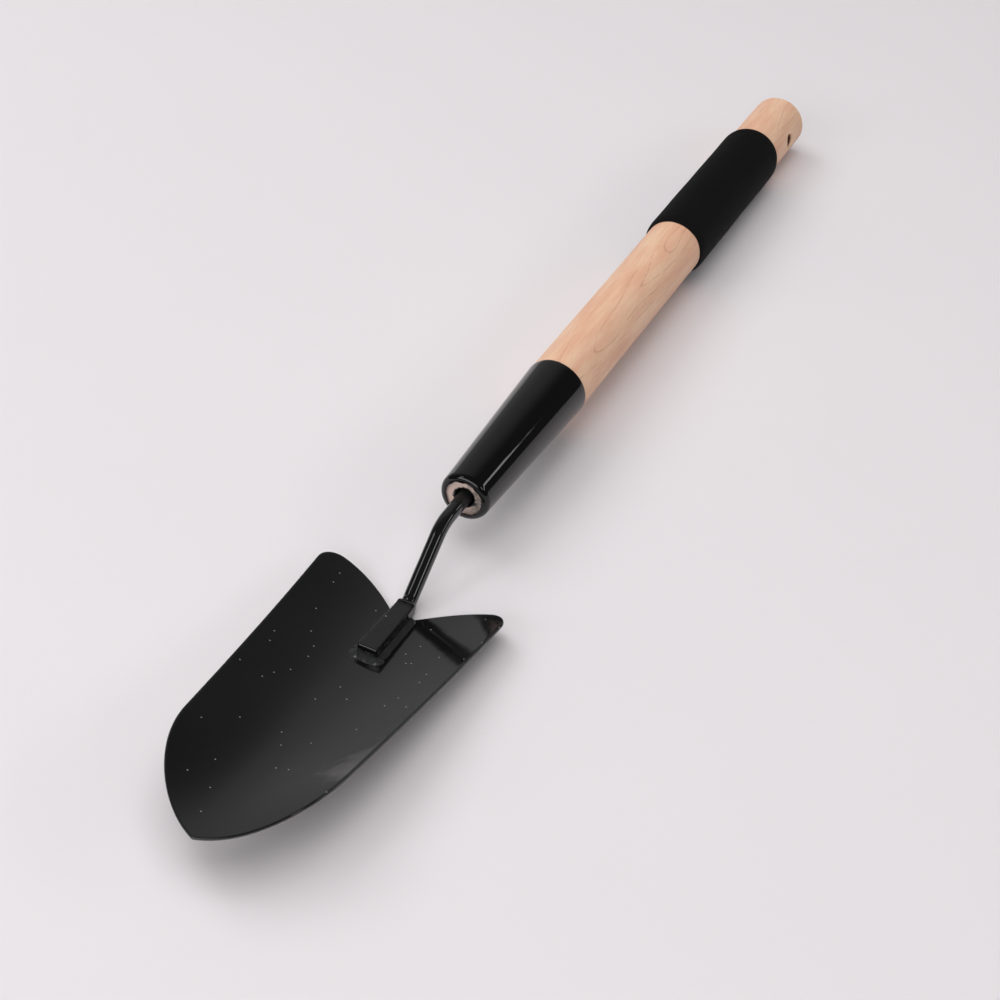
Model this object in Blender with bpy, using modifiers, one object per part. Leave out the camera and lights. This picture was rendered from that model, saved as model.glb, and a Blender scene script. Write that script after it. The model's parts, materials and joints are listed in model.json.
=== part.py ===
"""Hand transplanter: a dished steel blade welded to a cranked bar, whose tang sits in a turned wooden
handle with a dipped sleeve at the front and a foam grip at the back.

Every piece is modelled in the tool's own frame: the origin is the centre of the handle's front end,
+X runs along the handle's axis towards the blade's tip, and +Z is up.  An empty then lays the whole tool
down so that the blade's belly and the grip touch Z = 0, with the origin at the bottom centre of its box.
"""
import bpy
import bmesh
import numpy as np
from math import atan2, cos, exp, pi, radians, sin, sqrt, tan

MM = 0.001
GAP = 0.3 * MM                       # clearance between neighbouring pieces

# Handle: lengths are measured back from its front end
WOOD_RADIUS = 15.0 * MM
HANDLE_LENGTH = 400.2 * MM
BUTT_ROUNDING = 3.0 * MM
SEAT_RADIUS_FRONT = 10.9 * MM        # the turned seat under the sleeve widens towards the back
SEAT_RADIUS_BACK = 14.55 * MM
FRONT_RECESS = 1.1 * MM              # the end grain lies this far behind the sleeve's lip
FRONT_ROUNDING = 1.8 * MM
BORE_RADIUS = 4.6 * MM
BORE_DEPTH = 76.0 * MM
HANG_HOLE_RADIUS = 3.75 * MM
HANG_HOLE_X = -376.8 * MM
HANG_HOLE_TILT = radians(2.5)        # drilled a little off level

# Dipped sleeve over the front of the handle
SLEEVE_LENGTH = 95.0 * MM
SLEEVE_RADIUS_FRONT = 11.8 * MM
SLEEVE_RADIUS_BACK = 15.5 * MM
SLEEVE_WALL = 0.6 * MM
SLEEVE_NOSE = 3.0 * MM               # rounding where it turns over the end grain
SLEEVE_MOUTH_RADIUS = 8.6 * MM

# Foam grip
GRIP_FRONT_X = -239.3 * MM
GRIP_BACK_X = -353.8 * MM
GRIP_RADIUS = 16.8 * MM
GRIP_END_EDGE = 0.35 * MM             # thickness of the foam at its very end
GRIP_END_TAPER = 6.0 * MM             # length over which it swells to its full thickness

# Bar: square in the neck, wider where it lies on the blade, tapered in the bore
BAR_SIZE = 6.5 * MM
BAR_CORNER = 2.5 * MM
NECK_ANGLE = radians(39.5)           # how steeply the neck drops below the handle's axis
NECK_CORNER_X = 19.6 * MM            # where the neck's straight line would leave the handle's axis
NECK_BEND = 16.0 * MM
TONGUE_BEND = 3.8 * MM
TONGUE_END_X = 84.4 * MM
TONGUE_WIDTH_BACK = 8.4 * MM
TONGUE_WIDTH_FRONT = 9.3 * MM
TONGUE_HEIGHT = 5.2 * MM
TONGUE_CORNER = 0.6 * MM
TONGUE_CLEARANCE = 0.6 * MM          # under the tongue at the middle of the dish, less at its edges
TANG_END_X = -68.0 * MM
TANG_END_TAPER = 2.5 * MM            # length of the blunt point at the tang's end
TANG_POINT_SHARE = 0.55              # size of that point, of the tang's end
TANG_SHOULDER_X = -12.0 * MM
TANG_SHOULDER_LENGTH = 6.0 * MM      # over which the tang grows to the neck's size
TANG_SIZE = 5.0 * MM
TANG_END_SIZE = 3.4 * MM

# Glue that fills the bore round the tang
GLUE_FRONT_X = -13.0 * MM
GLUE_BACK_X = -75.0 * MM
GLUE_BORE_FRONT = 3.5 * MM
GLUE_BORE_BACK = 2.5 * MM
GLUE_END_GAP = 1.5 * MM              # free space beyond the tang's point

# Blade: outline in plan
BLADE_THICKNESS = 1.4 * MM
TIP_X = 214.0 * MM
LOBE_X = 40.1 * MM                   # rearmost point of each lobe of the heart-shaped back edge
LOBE_Y = 35.3 * MM
SHOULDER_RADIUS = 8.5 * MM
SIDE_ANGLE = radians(3.88)           # the straight sides draw in towards the tip
ARCH_RADIUS = 60.0 * MM              # the two arcs that meet at the tip
BACK_EDGE_RADIUS = 35.3 * MM

# Blade: height of the middle line, and a dish with a round keel and nearly flat wings about it.  At the
# edges the dish is as high as a trough rolled to these radii would be.
KEEL_AT_TIP = 4.0 * MM               # how round the keel is far forward
KEEL_EXTRA = 18.0 * MM               # how much rounder it is at the back
KEEL_FADE = 50.0 * MM                # length over which that fades to about a third
BELLY_X = 50.0 * MM
BELLY_Z = -27.2 * MM
BELLY_SLOPE = 0.048
BELLY_CURVE = 0.461                  # per metre
DISH_STATIONS = (50.0 * MM, 130.0 * MM, 205.0 * MM)
DISH_RADII = (78.0 * MM, 54.0 * MM, 42.0 * MM)

# Welds
FRONT_BEAD_REACH = 3.3 * MM
FRONT_BEAD_RISE = 2.3 * MM
FRONT_BEAD_WRAP = 2.5 * MM           # how far it runs back along the tongue's sides
FRONT_BEAD_END_SHARE = 0.55          # size of its two ends, of its full size
FRONT_BEAD_TURN = radians(30.0)      # between stations round each corner
SIDE_BEAD_BACK_X = 53.0 * MM
SIDE_BEAD_FRONT_X = 81.4 * MM
SIDE_BEAD_REACH = 3.0 * MM           # at the notch; it thins out towards the front
SIDE_BEAD_RISE = 2.2 * MM
SIDE_BEAD_END_SHARE = 0.8            # size of its front end, of the size at the notch

TURN_STEPS = 48


# ---------------------------------------------------------------- shared helpers

def clear_scene():
    """Take everything out of the open file."""
    for thing in list(bpy.data.objects):
        bpy.data.objects.remove(thing)


def new_collection(name):
    collection = bpy.data.collections.new(name)
    bpy.context.scene.collection.children.link(collection)
    return collection


def make_material(name, colour, roughness, metallic=0.0):
    """A Principled finish of one colour (linear RGB)."""
    material = bpy.data.materials.new(name)
    material.use_nodes = True
    shader = material.node_tree.nodes["Principled BSDF"]
    shader.inputs["Base Color"].default_value = (*colour, 1.0)
    shader.inputs["Roughness"].default_value = roughness
    shader.inputs["Metallic"].default_value = metallic
    return material


def add_object(name, mesh, material, collection, parent=None):
    """An object for the mesh, with its one material, hung on the parent."""
    thing = bpy.data.objects.new(name, mesh)
    collection.objects.link(thing)
    thing.parent = parent
    if material:
        mesh.materials.append(material)
    return thing


def shade_round(mesh, angle=35.0):
    mesh.shade_smooth()
    mesh.set_sharp_from_angle(angle=radians(angle))


def arc(centre, radius, start, end, steps):
    """Points on a circle from one angle to another, both ends included."""
    turns = np.linspace(start, end, steps + 1)
    return [(centre[0] + radius * cos(a), centre[1] + radius * sin(a)) for a in turns]


def turned(name, profile, closed, material, collection, parent):
    """Turn a profile about the handle's axis; each point is (radius, x along the axis).

    The outer side runs from the front to the back, so that the faces point outwards.  An open profile
    starts and ends on the axis, and a closed one makes a tube.
    """
    mesh = bpy.data.meshes.new(name)
    count = len(profile)
    edges = [(i, (i + 1) % count) for i in range(count if closed else count - 1)]
    mesh.from_pydata([(radius, 0.0, x) for radius, x in profile], edges, [])
    piece = add_object(name, mesh, material, collection, parent)
    piece.rotation_euler = (0.0, pi / 2, 0.0)
    screw = piece.modifiers.new("turn", "SCREW")
    screw.axis = "Z"
    screw.angle = 2 * pi
    screw.steps = TURN_STEPS
    screw.render_steps = TURN_STEPS
    screw.use_merge_vertices = True
    screw.merge_threshold = 0.00001
    screw.use_smooth_shade = True
    return piece


def rounded_rectangle(width, height, corner, corner_steps=4):
    """Outline points (across, up) of a rectangle with round corners, anticlockwise."""
    across = width / 2 - corner
    up = height / 2 - corner
    outline = []
    for quarter, (side, lift) in enumerate([(1, 1), (-1, 1), (-1, -1), (1, -1)]):
        start = quarter * pi / 2
        outline += arc((side * across, lift * up), corner, start, start + pi / 2, corner_steps)
    return outline


def skin_sections(name, sections):
    """A closed mesh through rings of equally many points, each end closed by one face."""
    shape = bmesh.new()
    rings = [[shape.verts.new(point) for point in section] for section in sections]
    count = len(rings[0])
    for back, front in zip(rings, rings[1:]):
        for i in range(count):
            j = (i + 1) % count
            shape.faces.new((back[i], back[j], front[j], front[i]))
    shape.faces.new(list(reversed(rings[0])))
    shape.faces.new(rings[-1])
    bmesh.ops.recalc_face_normals(shape, faces=shape.faces)
    mesh = bpy.data.meshes.new(name)
    shape.to_mesh(mesh)
    shape.free()
    return mesh


# ---------------------------------------------------------------- blade

def belly_height(x):
    """Height of the blade's middle line."""
    run = x - BELLY_X
    return BELLY_Z + BELLY_SLOPE * run + BELLY_CURVE * run * run


def dish_radius(x):
    """Radius that sets the edges' height at x: the parabola through its values at the three stations."""
    (x0, x1, x2), (r0, r1, r2) = DISH_STATIONS, DISH_RADII
    first = (r1 - r0) / (x1 - x0)
    second = ((r2 - r1) / (x2 - x1) - first) / (x2 - x0)
    return r0 + (x - x0) * (first + second * (x - x1))


def arch_centre():
    """Centre of the arc that leaves the straight side smoothly and ends at the tip."""
    start_x = LOBE_X + SHOULDER_RADIUS + SHOULDER_RADIUS * sin(SIDE_ANGLE)
    start_y = LOBE_Y + SHOULDER_RADIUS * cos(SIDE_ANGLE)
    base_x = start_x - ARCH_RADIUS * sin(SIDE_ANGLE)
    base_y = start_y - ARCH_RADIUS * cos(SIDE_ANGLE)
    ahead = (TIP_X - base_x) * cos(SIDE_ANGLE) + base_y * sin(SIDE_ANGLE)
    apart_squared = (TIP_X - base_x) ** 2 + base_y ** 2
    along = ahead - sqrt(ahead * ahead - apart_squared + ARCH_RADIUS ** 2)
    return base_x + along * cos(SIDE_ANGLE), base_y - along * sin(SIDE_ANGLE)


def half_width(x):
    """Half the blade's width: the straight side carried back, and the arc beyond where it begins."""
    centre_x, centre_y = arch_centre()
    reach = min(x - centre_x, ARCH_RADIUS)
    begin = ARCH_RADIUS * sin(SIDE_ANGLE)
    if reach < begin:
        return centre_y + ARCH_RADIUS * cos(SIDE_ANGLE) + (begin - reach) * tan(SIDE_ANGLE)
    return centre_y + sqrt(ARCH_RADIUS ** 2 - reach ** 2)


def blade_height(x, y):
    """Top surface of the blade: the middle line plus a hyperbola across it."""
    radius = dish_radius(x)
    keel = KEEL_AT_TIP + KEEL_EXTRA * exp(-(x - BELLY_X) / KEEL_FADE)
    wing = keel / radius + (half_width(x) / (2 * radius)) ** 2
    return belly_height(x) + sqrt(keel ** 2 + wing * y * y) - keel


def blade_side():
    """Half outline from a lobe's rearmost point round the shoulder and along the side to the tip."""
    centre_x, centre_y = arch_centre()
    lean = pi / 2 - SIDE_ANGLE
    shoulder = arc((LOBE_X + SHOULDER_RADIUS, LOBE_Y), SHOULDER_RADIUS, pi, lean, 7)
    tip_angle = atan2(-centre_y, TIP_X - centre_x)
    arch = arc((centre_x, centre_y), ARCH_RADIUS, lean, tip_angle, 12)
    straight = np.linspace(shoulder[-1], arch[0], 10)[1:-1].tolist()
    return shoulder + straight + arch


def make_blade(material, collection, parent):
    """A grid whose rows run across the blade, from the heart-shaped back edge to the tip.

    Each row spans the outline at its own place; rows near the back also bow forward in the middle like
    the back edge, and straighten out by the middle of the blade.
    """
    side = blade_side()
    columns = 16
    grid = bmesh.new()
    bmesh.ops.create_grid(grid, x_segments=len(side) - 1, y_segments=columns, size=0.5)
    for vert in grid.verts:
        row = round((vert.co.x + 0.5) * (len(side) - 1))
        across = vert.co.y * 2
        edge_x, edge_y = side[row]
        bow = (LOBE_Y * (1 - abs(across))) ** 2 / (2 * BACK_EDGE_RADIUS)
        fade = max(0.0, 1 - (edge_x - LOBE_X) / LOBE_Y / 2) ** 2
        x = edge_x + bow * fade
        y = edge_y * across
        vert.co = (x, y, blade_height(x, y))
    bmesh.ops.remove_doubles(grid, verts=grid.verts, dist=0.01 * MM)
    mesh = bpy.data.meshes.new("blade")
    grid.to_mesh(mesh)
    grid.free()
    shade_round(mesh, 50.0)
    blade = add_object("blade", mesh, material, collection, parent)
    sheet = blade.modifiers.new("sheet", "SOLIDIFY")
    sheet.thickness = BLADE_THICKNESS
    sheet.offset = -1.0
    sheet.use_even_offset = True
    return blade


# ---------------------------------------------------------------- bar

def tongue_line(x):
    """Height of the tongue's middle, which follows the chord of the blade's middle line below it."""
    back_x = BELLY_X
    slope = (belly_height(TONGUE_END_X) - belly_height(back_x)) / (TONGUE_END_X - back_x)
    chord = belly_height(back_x) + slope * (x - back_x)
    return chord + TONGUE_CLEARANCE + TONGUE_HEIGHT / 2


def tongue_slope():
    return (tongue_line(TONGUE_END_X) - tongue_line(BELLY_X)) / (TONGUE_END_X - BELLY_X)


def bend(corner, before, after, radius, steps):
    """Points and headings round a bend that rounds off a corner; before and after are heading angles."""
    turn = after - before
    reach = radius * tan(abs(turn) / 2)
    start = (corner[0] - reach * cos(before), corner[1] - reach * sin(before))
    side = pi / 2 if turn > 0 else -pi / 2
    centre = (start[0] + radius * cos(before + side), start[1] + radius * sin(before + side))
    path = []
    for heading in np.linspace(before, after, steps + 1):
        x = centre[0] + radius * cos(heading - side)
        z = centre[1] + radius * sin(heading - side)
        path.append((x, z, heading))
    return path


def bar_stations():
    """Stations down the bar: (x, z, heading, width, height, corner)."""
    level = atan2(tongue_slope(), 1.0)
    fall = tan(NECK_ANGLE)
    low_x = (fall * NECK_CORNER_X - tongue_line(0.0)) / (fall + tongue_slope())
    low_corner = (low_x, tongue_line(low_x))
    point = TANG_END_SIZE * TANG_POINT_SHARE
    round_share = BAR_CORNER / BAR_SIZE
    stations = [
        (TANG_END_X, 0.0, 0.0, point, point, point * round_share),
        (TANG_END_X + TANG_END_TAPER, 0.0, 0.0, TANG_END_SIZE, TANG_END_SIZE, TANG_END_SIZE * round_share),
        (TANG_SHOULDER_X, 0.0, 0.0, TANG_SIZE, TANG_SIZE, TANG_SIZE * round_share),
        (TANG_SHOULDER_X + TANG_SHOULDER_LENGTH, 0.0, 0.0, BAR_SIZE, BAR_SIZE, BAR_CORNER),
    ]
    for x, z, heading in bend((NECK_CORNER_X, 0.0), 0.0, -NECK_ANGLE, NECK_BEND, 8):
        stations.append((x, z, heading, BAR_SIZE, BAR_SIZE, BAR_CORNER))
    low_bend = bend(low_corner, -NECK_ANGLE, level, TONGUE_BEND, 5)
    for step, (x, z, heading) in enumerate(low_bend):
        share = step / (len(low_bend) - 1)
        width = BAR_SIZE + (TONGUE_WIDTH_BACK - BAR_SIZE) * share
        height = BAR_SIZE + (TONGUE_HEIGHT - BAR_SIZE) * share
        corner = BAR_CORNER + (TONGUE_CORNER - BAR_CORNER) * share
        stations.append((x, z, heading, width, height, corner))
    stations.append((TONGUE_END_X, tongue_line(TONGUE_END_X), level, TONGUE_WIDTH_FRONT, TONGUE_HEIGHT,
                     TONGUE_CORNER))
    return stations


def make_bar(material, collection, parent):
    """The cranked bar in one piece: tang, neck and tongue, skinned through its stations."""
    sections = []
    for x, z, heading, width, height, corner in bar_stations():
        outline = rounded_rectangle(width, height, corner)
        sections.append([(x - up * sin(heading), across, z + up * cos(heading)) for across, up in outline])
    mesh = skin_sections("neck_bar", sections)
    shade_round(mesh)
    return add_object("neck_bar", mesh, material, collection, parent)


# ---------------------------------------------------------------- welds

def fillet_section(foot, outward, reach, rise):
    """Ring of a fillet weld at a point of the tongue's foot, given the direction away from the tongue.

    It stands against the tongue's wall up to its rise, covers the blade out to its reach, and bulges
    between the two.
    """
    bulge = (0.88, 0.67, 0.38)
    away = [GAP, reach] + [reach * share for share in bulge] + [GAP]
    lifts = [GAP, GAP] + [rise * share for share in reversed(bulge)] + [rise]
    ring = []
    for out, lift in zip(away, lifts):
        x = foot[0] + outward[0] * out
        y = foot[1] + outward[1] * out
        ring.append((x, y, blade_height(x, y) + lift))
    return ring


def make_front_bead(material, collection, parent):
    """The weld across the tongue's end, wrapped a little way round both of its corners."""
    half = TONGUE_WIDTH_FRONT / 2
    thin_reach = FRONT_BEAD_REACH * FRONT_BEAD_END_SHARE
    thin_rise = FRONT_BEAD_RISE * FRONT_BEAD_END_SHARE
    start = (TONGUE_END_X - FRONT_BEAD_WRAP, -half)
    sections = [fillet_section(start, (0.0, -1.0), thin_reach, thin_rise)]
    for side in (-1, 1):
        for step in range(4):
            turn = side * FRONT_BEAD_TURN * (3 - step if side < 0 else step)
            foot = (TONGUE_END_X, side * half)
            sections.append(fillet_section(foot, (cos(turn), sin(turn)), FRONT_BEAD_REACH, FRONT_BEAD_RISE))
    end = (TONGUE_END_X - FRONT_BEAD_WRAP, half)
    sections.append(fillet_section(end, (0.0, 1.0), thin_reach, thin_rise))
    mesh = skin_sections("front_weld_bead", sections)
    shade_round(mesh)
    return add_object("front_weld_bead", mesh, material, collection, parent)


def make_side_bead(side, name, material, collection, parent):
    """The weld along one side of the tongue; side is +1 for the left and -1 for the right."""
    flare = (TONGUE_WIDTH_FRONT - TONGUE_WIDTH_BACK) / 2 / (TONGUE_END_X - BELLY_X)
    sections = []
    for share in np.linspace(0.0, 1.0, 7):
        x = SIDE_BEAD_BACK_X + (SIDE_BEAD_FRONT_X - SIDE_BEAD_BACK_X) * share
        y = side * (TONGUE_WIDTH_BACK / 2 + flare * (x - BELLY_X))
        size = 1 - (1 - SIDE_BEAD_END_SHARE) * share
        sections.append(fillet_section((x, y), (0.0, side), SIDE_BEAD_REACH * size, SIDE_BEAD_RISE * size))
    mesh = skin_sections(name, sections)
    shade_round(mesh)
    return add_object(name, mesh, material, collection, parent)


# ---------------------------------------------------------------- handle

def seat_radius(x):
    """Radius of the wood under the sleeve."""
    return SEAT_RADIUS_FRONT + (SEAT_RADIUS_BACK - SEAT_RADIUS_FRONT) * (-x / SLEEVE_LENGTH)


def make_handle(material, collection, cutters, parent):
    """Turned wood with a blind bore for the tang, and a drilled hole to hang it by."""
    seat_end = -SLEEVE_LENGTH - GAP
    nose_x = -FRONT_RECESS - FRONT_ROUNDING
    nose = arc((seat_radius(nose_x) - FRONT_ROUNDING, nose_x), FRONT_ROUNDING, pi / 2, 0.0, 4)
    butt_x = -HANDLE_LENGTH + BUTT_ROUNDING
    butt = arc((WOOD_RADIUS - BUTT_ROUNDING, butt_x), BUTT_ROUNDING, 0.0, -pi / 2, 6)
    profile = [(0.0, -BORE_DEPTH), (BORE_RADIUS, -BORE_DEPTH), (BORE_RADIUS, -FRONT_RECESS)]
    profile += nose
    profile += [(seat_radius(seat_end), seat_end), (WOOD_RADIUS, seat_end)]
    profile += butt
    profile += [(0.0, -HANDLE_LENGTH)]
    handle = turned("wood_handle", profile, False, material, collection, parent)

    drill = bmesh.new()
    bmesh.ops.create_cone(drill, cap_ends=True, segments=24, radius1=HANG_HOLE_RADIUS,
                          radius2=HANG_HOLE_RADIUS, depth=WOOD_RADIUS * 3)
    mesh = bpy.data.meshes.new("hang_hole_drill")
    drill.to_mesh(mesh)
    drill.free()
    cutter = add_object("hang_hole_drill", mesh, None, cutters, parent)
    cutter.location = (HANG_HOLE_X, 0.0, 0.0)
    cutter.rotation_euler = (pi / 2 + HANG_HOLE_TILT, 0.0, 0.0)
    cutter.hide_render = True
    cutter.display_type = "WIRE"
    cut = handle.modifiers.new("hang_hole", "BOOLEAN")
    cut.object = cutter
    cut.operation = "DIFFERENCE"
    return handle


def make_sleeve(material, collection, parent):
    """The dipped sleeve: a cone-shaped skin whose front edge turns in over the end grain."""
    cone = (SLEEVE_RADIUS_BACK - SLEEVE_RADIUS_FRONT) / SLEEVE_LENGTH
    outer_nose = SLEEVE_RADIUS_FRONT + cone * SLEEVE_NOSE - SLEEVE_NOSE
    inner = SLEEVE_NOSE - SLEEVE_WALL
    profile = [(SLEEVE_MOUTH_RADIUS, 0.0)]
    profile += arc((outer_nose, -SLEEVE_NOSE), SLEEVE_NOSE, pi / 2, 0.0, 6)
    profile += [(SLEEVE_RADIUS_BACK, -SLEEVE_LENGTH)]
    profile += [(SLEEVE_RADIUS_BACK - SLEEVE_WALL, -SLEEVE_LENGTH)]
    profile += arc((outer_nose, -SLEEVE_NOSE), inner, 0.0, pi / 2, 5)
    profile += [(SLEEVE_MOUTH_RADIUS, -SLEEVE_WALL)]
    return turned("front_sleeve", profile, True, material, collection, parent)


def make_grip(material, collection, parent):
    """The foam grip: a tube stretched over the wood, whose ends are drawn in to a thin edge."""
    bore = WOOD_RADIUS + GAP
    edge = bore + GRIP_END_EDGE
    swell = [(edge + (GRIP_RADIUS - edge) * sin(a), GRIP_END_TAPER * (1 - cos(a)))
             for a in np.linspace(0.0, pi / 2, 6)]
    profile = [(radius, GRIP_FRONT_X - inset) for radius, inset in swell]
    profile += [(radius, GRIP_BACK_X + inset) for radius, inset in reversed(swell)]
    profile += [(bore, GRIP_BACK_X), (bore, GRIP_FRONT_X)]
    return turned("foam_grip", profile, True, material, collection, parent)


def make_glue(material, collection, parent):
    """The glue in the bore: a plug with a tapered hollow that the tang sits in."""
    radius = BORE_RADIUS - GAP
    profile = [
        (0.0, TANG_END_X - GLUE_END_GAP),
        (GLUE_BORE_BACK, TANG_END_X - GLUE_END_GAP),
        (GLUE_BORE_FRONT, GLUE_FRONT_X),
        (radius, GLUE_FRONT_X),
        (radius, GLUE_BACK_X),
        (0.0, GLUE_BACK_X),
    ]
    return turned("tang_glue", profile, False, material, collection, parent)


# ---------------------------------------------------------------- lay the tool down

def world_points(pieces):
    """Every vertex of the finished pieces, in world space."""
    bpy.context.view_layer.update()
    graph = bpy.context.evaluated_depsgraph_get()
    clouds = []
    for piece in pieces:
        final = piece.evaluated_get(graph)
        mesh = final.to_mesh()
        points = np.empty(len(mesh.vertices) * 3)
        mesh.vertices.foreach_get("co", points)
        final.to_mesh_clear()
        place = np.array(piece.matrix_world)
        clouds.append(points.reshape(-1, 3) @ place[:3, :3].T + place[:3, 3])
    return clouds


def lay_down(pose, blade, grip, pieces):
    """Tilt the tool until the blade's lowest point and the grip's are level, then set it on Z = 0."""
    for _ in range(4):
        blade_points, grip_points = world_points([blade, grip])
        low_blade = blade_points[blade_points[:, 2].argmin()]
        low_grip = grip_points[grip_points[:, 2].argmin()]
        rise = low_blade[2] - low_grip[2]
        run = low_blade[0] - low_grip[0]
        pose.rotation_euler.y += atan2(rise, run)
    cloud = np.vstack(world_points(pieces))
    low = cloud.min(axis=0)
    high = cloud.max(axis=0)
    pose.location = (-(low[0] + high[0]) / 2, -(low[1] + high[1]) / 2, -low[2])


def main():
    clear_scene()
    parts = new_collection("hand_transplanter")
    cutters = new_collection("cutters")
    pose = bpy.data.objects.new("rest_pose", None)
    parts.objects.link(pose)

    enamel = make_material("black_enamel", (0.012, 0.012, 0.013), 0.25)
    wood = make_material("pale_beech", (0.69, 0.43, 0.30), 0.5)
    vinyl = make_material("black_vinyl", (0.006, 0.006, 0.007), 0.15)
    foam = make_material("black_foam", (0.008, 0.008, 0.008), 0.95)
    epoxy = make_material("amber_glue", (0.35, 0.22, 0.07), 0.4)

    blade = make_blade(enamel, parts, pose)
    pieces = [
        blade,
        make_bar(enamel, parts, pose),
        make_front_bead(enamel, parts, pose),
        make_side_bead(1, "left_weld_bead", enamel, parts, pose),
        make_side_bead(-1, "right_weld_bead", enamel, parts, pose),
        make_handle(wood, parts, cutters, pose),
        make_sleeve(vinyl, parts, pose),
        make_glue(epoxy, parts, pose),
    ]
    grip = make_grip(foam, parts, pose)
    pieces.append(grip)
    lay_down(pose, blade, grip, pieces)


main()
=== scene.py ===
# %% [markdown]
# # Hand transplanter
# A transplanter is a narrow garden trowel for lifting seedlings. This one is a dished steel blade, welded
# to a cranked square bar. The bar's tang is glued into a turned wooden handle, which has a dipped vinyl
# sleeve at its front end and a foam grip near its back end.
#
# The engineering model is loaded first. It is the frame that every finer piece is built to, and it is
# never moved. Each piece below stands for one of its nodes.

# %% Load the frame
import bpy
import bmesh
import numpy as np
from math import radians
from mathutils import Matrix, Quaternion, Vector
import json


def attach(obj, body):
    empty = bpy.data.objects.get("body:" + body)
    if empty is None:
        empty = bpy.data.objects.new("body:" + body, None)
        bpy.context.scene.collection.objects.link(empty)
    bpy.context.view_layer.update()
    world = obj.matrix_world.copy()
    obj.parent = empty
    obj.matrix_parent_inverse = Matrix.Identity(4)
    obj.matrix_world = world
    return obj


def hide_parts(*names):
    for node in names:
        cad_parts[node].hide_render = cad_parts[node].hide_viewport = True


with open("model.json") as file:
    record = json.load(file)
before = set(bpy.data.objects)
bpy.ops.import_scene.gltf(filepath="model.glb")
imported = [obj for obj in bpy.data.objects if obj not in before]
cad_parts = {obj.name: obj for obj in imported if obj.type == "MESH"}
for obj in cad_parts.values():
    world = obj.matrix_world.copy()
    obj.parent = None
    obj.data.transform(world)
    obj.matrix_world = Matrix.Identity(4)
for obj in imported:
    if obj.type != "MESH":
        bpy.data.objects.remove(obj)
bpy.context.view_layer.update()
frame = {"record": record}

# %% [markdown]
# ## Where the tool lies
# A maker measures a tool from a point that stays put, here the centre of the handle's front end, with X
# running towards the blade's tip and Z up. All the shapes below are worked out in millimetres in that
# frame, and a last step lays them on the ground. The handle's mount says where its back end is and which
# way its axis points, so the tilt and the starting point both come from the frame.

# %% The tool's own axes
MM = 0.001
HANDLE_LENGTH = 400.2
mount = frame["record"]["mounts"][0]
along = -np.array(mount["axis"])
along /= np.linalg.norm(along)
across = np.array([0.0, 1.0, 0.0])
upward = np.cross(along, across)
start = np.array(mount["pos_m"]) + along * HANDLE_LENGTH * MM


def lay_down(points):
    """Tool millimetres to metres on the ground: start + x * along + y * across + z * upward."""
    return start + points @ np.array([along, across, upward]) * MM


def pick_up(places):
    """The way back: the dot products of each place, less the start, with along, across and upward."""
    return (places - start) @ np.array([along, across, upward]).T / MM


print("handle starts at", start.round(5), "and tilts", np.degrees(np.arcsin(along[2])).round(2), "degrees")

# %% [markdown]
# ## From numbers to a mesh
# Most of these pieces are long things with a cross-section, so one helper serves them all: it takes a
# stack of rings, joins each ring to the next with quads, and closes the two ends with a fan of triangles
# round a middle point. Building the faces as whole arrays is quick, and the sign of the enclosed volume
# tells whether they face outwards. Each piece also carries its tool millimetres as an attribute, so that
# grain and cells keep their real size and direction whatever the piece's place on the ground.

# %% Skin a stack of rings
def skin_faces(rows, around, closed_rows=False):
    """Quads between neighbouring rings, plus end fans unless the last ring joins the first."""
    index = np.arange(rows * around).reshape(rows, around)
    back = index if closed_rows else index[:-1]
    front = np.roll(index, -1, axis=0) if closed_rows else index[1:]
    quads = np.stack([back, front, np.roll(front, -1, axis=1), np.roll(back, -1, axis=1)], axis=-1)
    faces = quads.reshape(-1, 4).tolist()
    if closed_rows:
        return faces
    first_pole = np.full(around, rows * around)
    first = np.stack([first_pole, index[0], np.roll(index[0], -1)], axis=-1)
    last = np.stack([first_pole + 1, np.roll(index[-1], -1), index[-1]], axis=-1)
    return faces + first.tolist() + last.tolist()


def skin_points(rings, closed_rows=False):
    """The rings' points in one list, and the middles of the end rings where there are end fans."""
    points = rings.reshape(-1, 3)
    if closed_rows:
        return points
    return np.vstack([points, rings[0].mean(axis=0), rings[-1].mean(axis=0)])


# %% Make a mesh and face it outwards
def make_mesh(name, points, faces, merge=0.0):
    """A mesh laid on the ground, its tool millimetres kept as an attribute, its faces outwards."""
    mesh = bpy.data.meshes.new(name)
    mesh.from_pydata(lay_down(points), [], faces)
    where = mesh.attributes.new("tool_mm", "FLOAT_VECTOR", "POINT")
    where.data.foreach_set("vector", points.astype(np.float32).ravel())
    shape = bmesh.new()
    shape.from_mesh(mesh)
    if merge:
        bmesh.ops.remove_doubles(shape, verts=shape.verts, dist=merge * MM)
    volume = shape.calc_volume(signed=True)
    if volume < 0:
        bmesh.ops.reverse_faces(shape, faces=shape.faces)
    loose = sum(not edge.is_manifold for edge in shape.edges)
    triangles = sum(len(face.verts) - 2 for face in shape.faces)
    shape.to_mesh(mesh)
    shape.free()
    mesh.shade_smooth()
    print(f"{name}: {triangles} triangles, {abs(volume) * 1e9:.0f} mm3, {loose} open edges")
    return mesh


def stand_for(node, mesh, material):
    """An object at the origin that takes the place of one node of the frame."""
    piece = bpy.data.objects.new(node + "_fine", mesh)
    bpy.context.scene.collection.objects.link(piece)
    mesh.materials.append(material)
    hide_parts(node)
    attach(piece, "root")
    return piece


# %% [markdown]
# ## Unevenness
# Nothing on a hand tool is perfectly true: dipped vinyl swells and thins, a weld wanders, foam gives.
# A few sine waves of unlike lengths and directions, added together, make a field that never visibly
# repeats. It needs no stored noise, and the same seed always gives the same surface.

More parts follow.
